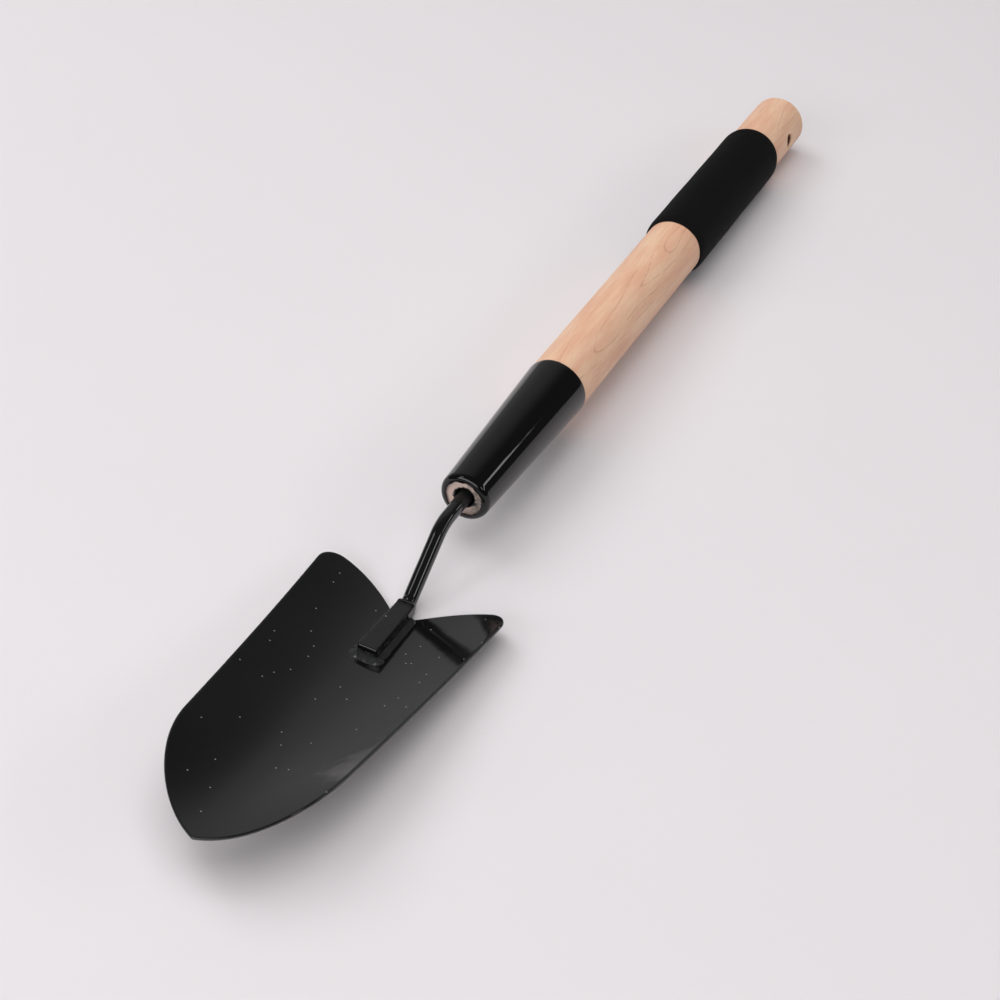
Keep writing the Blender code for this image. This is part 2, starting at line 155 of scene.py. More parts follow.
# %% A smooth uneven field
def uneven(points, length, seed, waves=9):
    """From about -1 to 1: the sum of plane waves about one length long, each in its own direction."""
    draw = np.random.default_rng(seed)
    ways = draw.normal(size=(waves, 3))
    ways /= np.linalg.norm(ways, axis=1, keepdims=True)
    sizes = length * draw.uniform(0.7, 1.7, waves)
    phases = draw.uniform(0.0, 2 * np.pi, waves)
    return np.sin(points @ (2 * np.pi * ways / sizes[:, None]).T + phases).sum(axis=-1) / np.sqrt(waves)


def swell(place, centre, width):
    """A soft hump of height 1: a bell curve of the distance from its centre over its width."""
    return np.exp(-((place - centre) / width) ** 2)


# %% [markdown]
# ## Powder-coated steel
# The blade, the bar and the welds are one welded part, dusted with black powder and baked. The coat is a
# hard semi-gloss plastic film, smooth to the hand, but its surface keeps the faint pillowing that painters
# call orange peel, which is why the edges of its reflections are a little ragged. Specks of dust lie on it.
# One function makes the finish, so that blade, bar and welds can differ in peel, dust, gloss and tone.

# %% The powder coat
def empty_material(name):
    """A material whose node tree is still empty, with that tree's nodes and links."""
    material = bpy.data.materials.new(name)
    material.use_nodes = True
    material.node_tree.nodes.clear()
    return material, material.node_tree.nodes, material.node_tree.links


def powder_coat(name, peel, dust, ior, least_roughness, tone):
    """Black semi-gloss film: fine and coarse bumps for the peel, a grey veil, and specks of dust."""
    material, nodes, links = empty_material(name)

    output = nodes.new("ShaderNodeOutputMaterial")
    output.label = "Coated steel"
    output.location = (1100, 0)
    film = nodes.new("ShaderNodeBsdfPrincipled")
    film.label = "Baked powder film"
    film.location = (800, 0)
    film.inputs["IOR"].default_value = ior
    links.new(film.outputs["BSDF"], output.inputs["Surface"])

    place = nodes.new("ShaderNodeAttribute")
    place.label = "Millimetres on the tool"
    place.location = (-1100, 0)
    place.attribute_name = "tool_mm"

    peel_frame = nodes.new("NodeFrame")
    peel_frame.label = "Orange peel"
    fine = nodes.new("ShaderNodeTexNoise")
    fine.label = "Pillows about a millimetre apart"
    fine.inputs["Scale"].default_value = 0.9
    fine.inputs["Detail"].default_value = 2.0
    coarse = nodes.new("ShaderNodeTexNoise")
    coarse.label = "Slow flow of the melted powder"
    coarse.inputs["Scale"].default_value = 0.12
    coarse.inputs["Detail"].default_value = 1.0
    flow_bump = nodes.new("ShaderNodeBump")
    flow_bump.label = "Flow as relief"
    flow_bump.inputs["Strength"].default_value = peel
    flow_bump.inputs["Distance"].default_value = 0.00008
    peel_bump = nodes.new("ShaderNodeBump")
    peel_bump.label = "Peel as relief"
    peel_bump.inputs["Strength"].default_value = peel
    peel_bump.inputs["Distance"].default_value = 0.00002
    for node, spot in ((fine, (-700, -300)), (coarse, (-700, -550)), (flow_bump, (-150, -550)),
                       (peel_bump, (150, -400))):
        node.location = spot
        node.parent = peel_frame
    links.new(place.outputs["Vector"], fine.inputs["Vector"])
    links.new(place.outputs["Vector"], coarse.inputs["Vector"])
    links.new(coarse.outputs["Fac"], flow_bump.inputs["Height"])
    links.new(fine.outputs["Fac"], peel_bump.inputs["Height"])
    links.new(flow_bump.outputs["Normal"], peel_bump.inputs["Normal"])

    dust_frame = nodes.new("NodeFrame")
    dust_frame.label = "Dust"
    cells = nodes.new("ShaderNodeTexVoronoi")
    cells.label = "One place for a speck in each cell, seen from above"
    cells.voronoi_dimensions = "2D"
    cells.inputs["Scale"].default_value = 0.16
    near = nodes.new("ShaderNodeMath")
    near.label = "Within a speck's reach"
    near.operation = "LESS_THAN"
    near.inputs[1].default_value = 0.05
    chosen = nodes.new("ShaderNodeSeparateColor")
    chosen.label = "Each cell's own chance"
    lucky = nodes.new("ShaderNodeMath")
    lucky.label = "Cells that hold a speck"
    lucky.operation = "LESS_THAN"
    lucky.inputs[1].default_value = dust
    speck = nodes.new("ShaderNodeMath")
    speck.label = "Speck"
    speck.operation = "MULTIPLY"
    for node, spot in ((cells, (-700, 350)), (near, (-450, 450)), (chosen, (-450, 250)),
                       (lucky, (-250, 250)), (speck, (-50, 350))):
        node.location = spot
        node.parent = dust_frame
    links.new(place.outputs["Vector"], cells.inputs["Vector"])
    links.new(cells.outputs["Distance"], near.inputs[0])
    links.new(cells.outputs["Color"], chosen.inputs["Color"])
    links.new(chosen.outputs["Red"], lucky.inputs[0])
    links.new(near.outputs["Value"], speck.inputs[0])
    links.new(lucky.outputs["Value"], speck.inputs[1])

    tone_frame = nodes.new("NodeFrame")
    tone_frame.label = "Colour and gloss"
    veil = nodes.new("ShaderNodeTexNoise")
    veil.label = "Handling haze"
    veil.inputs["Scale"].default_value = 0.05
    veil.inputs["Detail"].default_value = 5.0
    veil.inputs["Roughness"].default_value = 0.6
    gloss = nodes.new("ShaderNodeMapRange")
    gloss.label = "Gloss, duller where handled"
    gloss.inputs["From Min"].default_value = 0.3
    gloss.inputs["From Max"].default_value = 0.7
    gloss.inputs["To Min"].default_value = least_roughness
    gloss.inputs["To Max"].default_value = least_roughness + 0.04
    parts = nodes.new("ShaderNodeSeparateXYZ")
    parts.label = "Place along the tool"
    masked = nodes.new("ShaderNodeMapRange")
    masked.label = "Dull where it enters the handle"
    masked.inputs["From Min"].default_value = 4.0
    masked.inputs["From Max"].default_value = 8.0
    masked.inputs["To Min"].default_value = 0.5
    masked.inputs["To Max"].default_value = 0.0
    dulled = nodes.new("ShaderNodeMath")
    dulled.label = "Gloss and dull root together"
    dulled.operation = "ADD"
    colour = nodes.new("ShaderNodeMix")
    colour.label = "Black film, grey specks"
    colour.data_type = "RGBA"
    colour.inputs["A"].default_value = (tone, 1.02 * tone, 1.06 * tone, 1.0)
    colour.inputs["B"].default_value = (0.22, 0.215, 0.21, 1.0)
    for node, spot in ((veil, (-700, 50)), (gloss, (150, 0)), (parts, (-250, -50)), (masked, (-50, -50)),
                       (dulled, (400, 0)), (colour, (400, 250))):
        node.location = spot
        node.parent = tone_frame
    links.new(place.outputs["Vector"], veil.inputs["Vector"])
    links.new(veil.outputs["Fac"], gloss.inputs["Value"])
    links.new(speck.outputs["Value"], colour.inputs["Factor"])
    links.new(place.outputs["Vector"], parts.inputs["Vector"])
    links.new(parts.outputs["X"], masked.inputs["Value"])
    links.new(gloss.outputs["Result"], dulled.inputs[0])
    links.new(masked.outputs["Result"], dulled.inputs[1])
    links.new(dulled.outputs["Value"], film.inputs["Roughness"])
    links.new(colour.outputs["Result"], film.inputs["Base Color"])
    links.new(peel_bump.outputs["Normal"], film.inputs["Normal"])
    print(f"{name}: {len(nodes)} nodes")
    return material


blade_coat = powder_coat("blade_powder_coat", 0.4, 0.14, 1.7, 0.06, 0.0045)
bar_coat = powder_coat("bar_powder_coat", 0.3, 0.1, 1.6, 0.06, 0.0045)
bead_coat = powder_coat("bead_powder_coat", 0.3, 0.1, 1.6, 0.3, 0.017)

# %% [markdown]
# ## The blade's outline
# Seen from above the blade is a long heart: two lobes at the back with a notch between them, nearly
# straight sides, and two arcs that meet at the tip. It is stamped from sheet, so the outline is one crisp
# curve. It could be drawn as a Bezier, but arcs and lines worked out from a few sizes keep both halves
# exactly alike. The points are then spread evenly along the curve, which suits the rings that follow.

# %% Heart-shaped outline
TIP_X = 214.0
LOBE_X = 40.1
LOBE_Y = 35.3
SHOULDER = 8.5
SIDE_LEAN = radians(3.88)
ARCH = 60.0


def circle(centre, radius, begin, end, steps):
    """Points at equal angles along an arc, both ends included."""
    turn = np.linspace(begin, end, steps)
    return np.stack([centre[0] + radius * np.cos(turn), centre[1] + radius * np.sin(turn)], axis=-1)


def half_outline(count):
    """From the notch round a lobe and along a side to the tip, at equal distances along the curve."""
    y = np.linspace(0.0, LOBE_Y, 60)
    back = np.stack([LOBE_X + (LOBE_Y - y) ** 2 / (2 * LOBE_Y), y], axis=-1)
    lean = np.pi / 2 - SIDE_LEAN
    shoulder = circle((LOBE_X + SHOULDER, LOBE_Y), SHOULDER, np.pi, lean, 30)
    line = np.array([np.cos(SIDE_LEAN), -np.sin(SIDE_LEAN)])
    inward = np.array([-np.sin(SIDE_LEAN), -np.cos(SIDE_LEAN)])
    to_tip = np.array([TIP_X, 0.0]) - shoulder[-1] - inward * ARCH
    ahead = to_tip @ line
    run = ahead - np.sqrt(ahead ** 2 - to_tip @ to_tip + ARCH ** 2)
    centre = shoulder[-1] + inward * ARCH + line * run
    arch = circle(centre, ARCH, lean, np.arctan2(-centre[1], TIP_X - centre[0]), 80)
    curve = np.vstack([back, shoulder[1:], arch])
    run_so_far = np.append(0.0, np.cumsum(np.linalg.norm(np.diff(curve, axis=0), axis=1)))
    even = np.linspace(0.0, run_so_far[-1], count)
    return np.stack([np.interp(even, run_so_far, curve[:, k]) for k in range(2)], axis=-1), centre


EDGE_POINTS = 330
right, arch_centre = half_outline(EDGE_POINTS)
left = right[-2:0:-1] * (1, -1)
outline = np.vstack([right, left])
outline = (np.roll(outline, 1, axis=0) + 2 * outline + np.roll(outline, -1, axis=0)) / 4
print("outline", len(outline), "points,", np.ptp(outline, axis=0).round(1), "mm")

# %% [markdown]
# ## The blade's dish
# Pressing the sheet between a die and a punch gives it a round keel and nearly flat wings, which draw
# closer towards the tip, along a middle line that lifts at the front. One formula gives the height of any
# point, so the same function seats the welds on the blade later. Smaller waves are added for the
# spring-back of real pressed sheet.
# The mesh is a set of nested outlines that shrink to a spine down the middle; the outermost rings are
# rolled round the sheet's edge, because a coated edge is never sharp and its roundness catches the light.

# %% Height of the pressed sheet
SHEET = 1.4
EDGE_ROUNDING = 0.55
BELLY_X = 50.0
BELLY_Z = -27.2
BELLY_SLOPE = 0.048
BELLY_CURVE = 0.000461
DISH_STATIONS = (50.0, 130.0, 205.0)
DISH_RADII = (78.0, 54.0, 42.0)
KEEL_AT_TIP = 4.0
KEEL_EXTRA = 18.0
KEEL_FADE = 50.0


def half_width(x):
    """Half the blade's width: the straight side carried back, and the arc beyond where it begins."""
    reach = x - arch_centre[0]
    begin = ARCH * np.sin(SIDE_LEAN)
    beyond = np.clip(reach, begin, ARCH)
    arc_width = arch_centre[1] + np.sqrt(ARCH ** 2 - beyond ** 2)
    return arc_width + np.clip(begin - reach, 0.0, None) * np.tan(SIDE_LEAN)


dish_curve = np.polyfit(DISH_STATIONS, DISH_RADII, 2)


def blade_top(x, y):
    """Middle line's parabola, plus a hyperbola across it that meets a circle's height at the edges."""
    run = x - BELLY_X
    middle = BELLY_Z + BELLY_SLOPE * run + BELLY_CURVE * run ** 2
    radius = np.polyval(dish_curve, x)
    keel = KEEL_AT_TIP + KEEL_EXTRA * np.exp(-run / KEEL_FADE)
    wing = keel / radius + (half_width(x) / (2 * radius)) ** 2
    return middle + np.sqrt(keel ** 2 + wing * y ** 2) - keel


def blade_frame(x, y):
    """The sheet's upward normal at each point, from how the height changes over a hair's breadth."""
    hair = 0.01
    slope_x = (blade_top(x + hair, y) - blade_top(x - hair, y)) / (2 * hair)
    slope_y = (blade_top(x, y + hair) - blade_top(x, y - hair)) / (2 * hair)
    normal = np.stack([-slope_x, -slope_y, np.ones_like(x)], axis=-1)
    return normal / np.linalg.norm(normal, axis=-1, keepdims=True)


print("middle of the blade at", blade_top(np.array([58.0, 130.0, 214.0]), 0.0).round(1))

# %% The blade
SPINE_BACK = 82.0
SPINE_LENGTH = 92.0
SPINE_WAIT = 0.27
spine_share = np.clip((np.arange(EDGE_POINTS) / EDGE_POINTS - SPINE_WAIT) / (1 - SPINE_WAIT), 0.0, 1.0)
spine_right = np.stack([SPINE_BACK + SPINE_LENGTH * spine_share, np.zeros(EDGE_POINTS)], axis=-1)
spine = np.vstack([spine_right, spine_right[-2:0:-1]])
tangent = np.roll(outline, -1, axis=0) - np.roll(outline, 1, axis=0)
tangent /= np.linalg.norm(tangent, axis=1, keepdims=True)
outward = np.stack([tangent[:, 1], -tangent[:, 0]], axis=-1)
outward *= np.sign(((outline - spine) * outward).sum(axis=1)).mean()

inner = outline - outward * EDGE_ROUNDING
share = np.linspace(0.0, 1.0, 56)[:, None, None]
plan = spine + share * (inner - spine)
flat = np.stack([plan[..., 0], plan[..., 1], blade_top(plan[..., 0], plan[..., 1])], axis=-1)
normal = blade_frame(plan[..., 0], plan[..., 1])
spring = 0.05 * uneven(flat * (1, 1, 0), 55.0, 3)[..., None] * normal
top_face = flat + spring
under_face = top_face - SHEET * normal

rim_normal = normal[-1]
rim_out = np.concatenate([outward, np.zeros((len(outline), 1))], axis=1)
rim_out -= (rim_out * rim_normal).sum(axis=1, keepdims=True) * rim_normal
rim_out /= np.linalg.norm(rim_out, axis=1, keepdims=True)
quarter = np.linspace(0.0, np.pi / 2, 7)
reach = np.append(np.sin(quarter), np.sin(quarter[::-1]))[1:-1, None, None]
drop = np.append(1 - np.cos(quarter), SHEET / EDGE_ROUNDING - 1 + np.cos(quarter[::-1]))[1:-1, None, None]
rim = top_face[-1] + EDGE_ROUNDING * (reach * rim_out - drop * rim_normal)

layers = np.concatenate([top_face, rim, under_face[::-1]])
blade_faces = skin_faces(*layers.shape[:2])[:-2 * len(outline)]
blade_mesh = make_mesh("blade", layers.reshape(-1, 3), blade_faces, merge=0.002)
stand_for("blade", blade_mesh, blade_coat)

# %% [markdown]
# ## The bar
# The bar is one piece of steel: a square tang forged thinner for the handle, a nearly round neck with a
# bend down and a bend back up, and a tongue flattened onto the blade. A curve with a bevel would keep one
# section all the way. Here the heading is given against the distance along the bar, and adding up its
# cosines and sines gives the line. The same distance then drives the section's width, height and corners.

# %% A squared circle, for any width, height and squareness
def squared_circle(wide, high, square, around):
    """For each polar angle, the radius at which |side/a| and |lift/b| to the power of square add to one."""
    angle = np.linspace(0.0, 2 * np.pi, around, endpoint=False)
    part_side = np.abs(np.cos(angle)) / (wide[:, None] / 2)
    part_lift = np.abs(np.sin(angle)) / (high[:, None] / 2)
    radius = (part_side ** square[:, None] + part_lift ** square[:, None]) ** (-1 / square[:, None])
    return radius * np.cos(angle), radius * np.sin(angle)


corner, _ = squared_circle(np.array([6.5]), np.array([6.5]), np.array([2.2]), 8)
print("a 6.5 mm bar at squareness 2.2 is", (corner[0, 1] * 8 ** 0.5).round(2), "mm corner to corner")

# %% The cranked centre line
TANG_BACK = -68.0
run_marks = np.cumsum([0.0, 81.86, 11.03, 30.71, 2.86, 34.08])
headings = np.radians([0.0, 0.0, -39.5, -39.5, 3.654, 3.654])
run = np.linspace(0.0, run_marks[-1], 520)
heading = np.interp(run, run_marks, headings)
step = run[1] - run[0]
line_x = TANG_BACK + step * np.append(0.0, np.cumsum((np.cos(heading[1:]) + np.cos(heading[:-1])) / 2))
line_z = step * np.append(0.0, np.cumsum((np.sin(heading[1:]) + np.sin(heading[:-1])) / 2))
print("tongue ends at x", line_x[-1].round(2), "z", line_z[-1].round(2))

# %% The bar
size_marks = [0.0, 2.5, 56.0, 62.0, run_marks[3], run_marks[4], run_marks[5]]
END_ROUNDING = 0.45
ends = np.minimum(run, run_marks[-1] - run)
inset = END_ROUNDING * (1 - np.sqrt(1 - np.clip(1 - ends / END_ROUNDING, 0.0, 1.0) ** 2))
wide = np.interp(run, size_marks, [3.0, 3.4, 5.0, 6.5, 6.5, 8.4, 9.3]) - 2 * inset
high = np.interp(run, size_marks, [3.0, 3.4, 5.0, 6.5, 6.5, 5.2, 5.2]) - 2 * inset
square = np.interp(run, size_marks, [4.0, 4.0, 4.0, 2.2, 2.2, 9.0, 14.0])
side, lift = squared_circle(wide, high, square, 96)
inner_bend = (run_marks[3] + run_marks[4]) / 2
on_top = np.clip(lift / (high / 2)[:, None], 0.0, 1.0) ** 2
lift += 0.95 * swell(run, inner_bend, 2.3)[:, None] * on_top
curl = np.hypot(run[:, None] - inner_bend + 2.0, side + 1.2)
lift += (0.75 * swell(curl, 1.0, 0.45) + 0.35 * swell(curl, 0.0, 0.6)) * on_top
bar = np.stack([line_x[:, None] - lift * np.sin(heading)[:, None], side,
                line_z[:, None] + lift * np.cos(heading)[:, None]], axis=-1)
middle_line = np.stack([line_x, 0 * line_x, line_z], axis=-1)[:, None, :]
swelling = 1 + (0.010 * uneven(bar, 14.0, 11) + 0.004 * uneven(bar, 5.0, 12))[..., None]
bar = middle_line + (bar - middle_line) * swelling
cap = np.array([0.75, 0.4])[:, None, None]
back_cap = bar[0].mean(axis=0) + cap[::-1] * (bar[0] - bar[0].mean(axis=0))
front_cap = bar[-1].mean(axis=0) + cap * (bar[-1] - bar[-1].mean(axis=0))
bar = np.concatenate([back_cap, bar, front_cap])
bar_mesh = make_mesh("neck_bar", skin_points(bar), skin_faces(*bar.shape[:2]))
stand_for("neck_bar", bar_mesh, bar_coat)

# %% [markdown]
# ## The welds
# Three beads hold the tongue: one across its end and one down each side from the notch. A hand-laid bead
# swells and thins a little and leaves a round drop where it starts or stops, and its coat is duller than
# the sheet's. Each is a fillet section carried along the tongue's foot, with drops added where they froze.

# %% A bead along a line of feet
BEAD_SINK = 0.12
BULGE = 0.12


def weld_bead(name, foot, outward_turn, size_out, size_up, blobs, seed):
    """A fillet along the wall: half a cosine out, half a cosine up, and a sine to bulge it."""
    count = len(foot)
    distance = np.append(0.0, np.cumsum(np.linalg.norm(np.diff(foot, axis=0), axis=1)))
    distance += np.abs(outward_turn - outward_turn[0]) * 1.3
    sweep = np.linspace(0.0, np.pi, 25)
    lumps = 1 + 0.04 * uneven(np.concatenate([foot, distance[:, None]], axis=1), 9.0, seed)[:, None]
    rise = 0.5 - 0.5 * np.cos(sweep) + BULGE * np.sin(sweep)
    out = size_out[:, None] * lumps * (0.5 + 0.5 * np.cos(sweep))
    up = size_up[:, None] * lumps * rise
    for place, height in blobs:
        up += height * swell(np.hypot(distance[:, None] - place, 1.6 * (sweep - 1.3)), 0.0, 0.8)
    out = np.concatenate([out, np.full((count, 3), -BEAD_SINK)], axis=1)
    up = np.concatenate([up, up[:, -1:] * np.array([1.0, 0.5, 0.0])], axis=1) - BEAD_SINK
    x = foot[:, :1] + np.cos(outward_turn)[:, None] * out
    y = foot[:, 1:] + np.sin(outward_turn)[:, None] * out
    rings = np.stack([x, y, blade_top(x, y) + up], axis=-1)
    mesh = make_mesh(name, skin_points(rings), skin_faces(*rings.shape[:2]))
    print("  it runs", distance[-1].round(1), "mm")
    return stand_for(name, mesh, bead_coat)


# %% The bead across the tongue's end
TONGUE_END_X = 84.4
TONGUE_HALF = 4.65
marks = [0.0, 1.0, 2.0, 4.0, 5.0, 6.0]
place = np.linspace(0.0, 6.0, 200)
foot_x = np.interp(place, marks, TONGUE_END_X + np.array([-2.5, 0.0, 0.0, 0.0, 0.0, -2.5]))
foot_y = np.interp(place, marks, TONGUE_HALF * np.array([-1, -1, -1, 1, 1, 1]))
bead_turn = np.radians(np.interp(place, [1.0, 2.0, 4.0, 5.0], [-90, -12, 12, 90]))
taper = 0.3 + 0.7 * np.clip(np.minimum(place, 6.0 - place) / 0.9, 0.0, 1.0) ** 0.5
weld_bead("front_weld_bead", np.stack([foot_x, foot_y], axis=-1), bead_turn,
          3.5 * taper, 1.7 * taper, [(5.6, 0.6), (14.4, 0.6), (9.8, 0.2)], 21)

# %% The beads down its sides
for name, hand, seed in (("left_weld_bead", 1, 22), ("right_weld_bead", -1, 23)):
    place = np.linspace(0.0, 1.0, 260)
    foot = np.stack([52.5 + 31.0 * place, hand * (4.25 + 0.4 * place)], axis=-1)
    size = 0.25 + 0.75 * np.clip(np.minimum(place, 1 - place) / 0.06, 0.0, 1.0) ** 0.5
    weld_bead(name, foot, np.full(260, hand * np.pi / 2), 3.0 * size, 1.5 * size,
              [(1.8, 0.7)], seed)

# %% [markdown]
# ## Pale turned wood
# The handle is a pale, close-grained hardwood such as beech, turned, sanded and thinly varnished. A tree
# grows in cones, so the rings are nearly cylinders about a pith that lies outside the handle. Measuring
# the distance to that pith and bending it with slow noise gives lines down the sides and long loops where
# the surface runs along a ring, as on the real thing. Short fine flecks along the grain finish it.

# %% The wood
HOLE_X = -376.8


def turned_wood(name):
    """Pale hardwood: growth lines round a tilted pith, soft bands of tone, fibres, and end-grain pores."""
    material, nodes, links = empty_material(name)

    output = nodes.new("ShaderNodeOutputMaterial")
    output.label = "Varnished wood"
    output.location = (1700, 0)
    timber = nodes.new("ShaderNodeBsdfPrincipled")
    timber.label = "Thinly varnished beech"
    timber.location = (1400, 0)
    timber.inputs["IOR"].default_value = 1.45
    timber.inputs["Subsurface Weight"].default_value = 0.0
    links.new(timber.outputs["BSDF"], output.inputs["Surface"])

    place = nodes.new("ShaderNodeAttribute")
    place.label = "Millimetres on the tool"
    place.location = (-1700, 0)
    place.attribute_name = "tool_mm"

    ring_frame = nodes.new("NodeFrame")
    ring_frame.label = "Growth rings"
    pith = nodes.new("ShaderNodeMapping")
    pith.label = "Pith below, leaning across the handle"
    pith.inputs["Location"].default_value = (0.0, 28.0, 57.0)
    pith.inputs["Rotation"].default_value = (0.0, 0.012, -0.006)
    sway = nodes.new("ShaderNodeTexNoise")
    sway.label = "How the trunk grew unevenly"
    sway.inputs["Scale"].default_value = 1.0
    sway.inputs["Detail"].default_value = 1.0
    stretch = nodes.new("ShaderNodeMapping")
    stretch.label = "Stretched along the grain"
    stretch.inputs["Scale"].default_value = (0.012, 0.07, 0.07)
    flatten = nodes.new("ShaderNodeVectorMath")
    flatten.label = "Across the grain only"
    flatten.operation = "MULTIPLY"
    flatten.inputs[1].default_value = (0.0, 1.0, 1.0)
    radius = nodes.new("ShaderNodeVectorMath")
    radius.label = "Distance from the pith"
    radius.operation = "LENGTH"
    bent = nodes.new("ShaderNodeMath")
    bent.label = "Rings bent by the sway"
    bent.operation = "MULTIPLY_ADD"
    bent.inputs[1].default_value = 7.0
    year = nodes.new("ShaderNodeMath")
    year.label = "Years, a little over a millimetre each"
    year.operation = "DIVIDE"
    year.inputs[1].default_value = 1.3
    season = nodes.new("ShaderNodeMath")
    season.label = "Time of year"
    season.operation = "FRACT"
    line = nodes.new("ShaderNodeMapRange")
    line.label = "Thin dark line at each year's end"
    line.interpolation_type = "SMOOTHSTEP"
    line.inputs["From Min"].default_value = 0.87
    line.inputs["From Max"].default_value = 0.99
    for node, spot in ((pith, (-1450, 300)), (sway, (-1450, 0)), (stretch, (-1700, -250)),
                       (flatten, (-1200, 300)), (radius, (-1000, 300)), (bent, (-800, 200)),
                       (year, (-600, 200)), (season, (-400, 200)), (line, (-200, 300))):
        node.location = spot
        node.parent = ring_frame
    links.new(place.outputs["Vector"], pith.inputs["Vector"])
    links.new(place.outputs["Vector"], stretch.inputs["Vector"])
    links.new(stretch.outputs["Vector"], sway.inputs["Vector"])
    links.new(pith.outputs["Vector"], flatten.inputs[0])
    links.new(flatten.outputs["Vector"], radius.inputs[0])
    links.new(sway.outputs["Fac"], bent.inputs[0])
    links.new(radius.outputs["Value"], bent.inputs[2])
    links.new(bent.outputs["Value"], year.inputs[0])
    links.new(year.outputs["Value"], season.inputs[0])
    links.new(season.outputs["Value"], line.inputs["Value"])

    fibre_frame = nodes.new("NodeFrame")
    fibre_frame.label = "Fibres and flecks"
    fibre_run = nodes.new("ShaderNodeMapping")
    fibre_run.label = "Long along the grain, fine across it"
    fibre_run.inputs["Scale"].default_value = (0.07, 1.6, 1.6)
    fibre = nodes.new("ShaderNodeTexNoise")
    fibre.label = "Fibres"
    fibre.inputs["Scale"].default_value = 1.0
    fibre.inputs["Detail"].default_value = 4.0
    fibre.inputs["Roughness"].default_value = 0.65
    fleck_run = nodes.new("ShaderNodeMapping")
    fleck_run.label = "Short dashes"
    fleck_run.inputs["Scale"].default_value = (0.45, 4.5, 4.5)
    fleck = nodes.new("ShaderNodeTexNoise")
    fleck.label = "Pores, cut as dashes"
    fleck.inputs["Scale"].default_value = 1.0
    fleck.inputs["Detail"].default_value = 1.0
    dashes = nodes.new("ShaderNodeMapRange")
    dashes.label = "Only the deepest pores"
    dashes.inputs["From Min"].default_value = 0.62
    dashes.inputs["From Max"].default_value = 0.75
    bands_run = nodes.new("ShaderNodeMapping")
    bands_run.label = "Broad and long"
    bands_run.inputs["Scale"].default_value = (0.03, 0.16, 0.16)
    bands = nodes.new("ShaderNodeTexNoise")
    bands.label = "Warm and cool bands"
    bands.inputs["Scale"].default_value = 1.0
    bands.inputs["Detail"].default_value = 3.0
    for node, spot in ((fibre_run, (-1450, -500)), (fibre, (-1200, -450)), (fleck_run, (-1450, -800)),
                       (fleck, (-1200, -800)), (dashes, (-950, -800)), (bands_run, (-1450, -1100)),
                       (bands, (-1200, -1100))):
        node.location = spot
        node.parent = fibre_frame
    links.new(place.outputs["Vector"], fibre_run.inputs["Vector"])
    links.new(fibre_run.outputs["Vector"], fibre.inputs["Vector"])
    links.new(place.outputs["Vector"], fleck_run.inputs["Vector"])
    links.new(fleck_run.outputs["Vector"], fleck.inputs["Vector"])
    links.new(fleck.outputs["Fac"], dashes.inputs["Value"])
    links.new(place.outputs["Vector"], bands_run.inputs["Vector"])
    links.new(bands_run.outputs["Vector"], bands.inputs["Vector"])

    tone_frame = nodes.new("NodeFrame")
    tone_frame.label = "Colour"
    base = nodes.new("ShaderNodeValToRGB")
    base.label = "Cream to pinkish tan"
    base.color_ramp.elements[0].position = 0.36
    base.color_ramp.elements[0].color = (0.86, 0.575, 0.395, 1.0)
    base.color_ramp.elements[1].position = 0.64
    base.color_ramp.elements[1].color = (0.80, 0.455, 0.305, 1.0)
    fibre_fade = nodes.new("ShaderNodeMapRange")
    fibre_fade.label = "Fibres, faint"
    fibre_fade.inputs["From Min"].default_value = 0.42
    fibre_fade.inputs["From Max"].default_value = 0.72
    fibre_fade.inputs["To Max"].default_value = 0.2
    streaked = nodes.new("ShaderNodeMix")
    streaked.label = "Fibres over the base"
    streaked.data_type = "RGBA"
    streaked.inputs["B"].default_value = (0.52, 0.29, 0.18, 1.0)
    line_gap = nodes.new("ShaderNodeMath")
    line_gap.label = "Lines fade in and out"
    line_gap.operation = "MULTIPLY"
    line_fade = nodes.new("ShaderNodeMapRange")
    line_fade.label = "Strength of the lines"
    line_fade.inputs["From Min"].default_value = 0.4
    line_fade.inputs["From Max"].default_value = 0.62
    line_fade.inputs["To Min"].default_value = 0.08
    line_fade.inputs["To Max"].default_value = 0.6
    lined = nodes.new("ShaderNodeMix")
    lined.label = "Growth lines over that"
    lined.data_type = "RGBA"
    lined.inputs["B"].default_value = (0.46, 0.21, 0.12, 1.0)
    pore_fade = nodes.new("ShaderNodeMath")
    pore_fade.label = "Pores, faint"
    pore_fade.operation = "MULTIPLY"
    pore_fade.inputs[1].default_value = 0.25
    pored = nodes.new("ShaderNodeMix")
    pored.label = "Pores over that"
    pored.data_type = "RGBA"
    pored.inputs["B"].default_value = (0.35, 0.18, 0.10, 1.0)
    for node, spot in ((base, (-600, -1000)), (fibre_fade, (-600, -450)), (streaked, (-100, -600)),
                       (line_gap, (100, 250)), (line_fade, (-200, 0)), (lined, (350, -300)),
                       (pore_fade, (350, -700)), (pored, (600, -300))):
        node.location = spot
        node.parent = tone_frame
    links.new(bands.outputs["Fac"], base.inputs["Fac"])
    links.new(base.outputs["Color"], streaked.inputs["A"])
    links.new(fibre.outputs["Fac"], fibre_fade.inputs["Value"])
    links.new(fibre_fade.outputs["Result"], streaked.inputs["Factor"])
    links.new(fibre.outputs["Fac"], line_fade.inputs["Value"])
    links.new(line.outputs["Result"], line_gap.inputs[0])
    links.new(line_fade.outputs["Result"], line_gap.inputs[1])
    links.new(streaked.outputs["Result"], lined.inputs["A"])
    links.new(line_gap.outputs["Value"], lined.inputs["Factor"])
    links.new(dashes.outputs["Result"], pore_fade.inputs[0])
    links.new(lined.outputs["Result"], pored.inputs["A"])
    links.new(pore_fade.outputs["Value"], pored.inputs["Factor"])

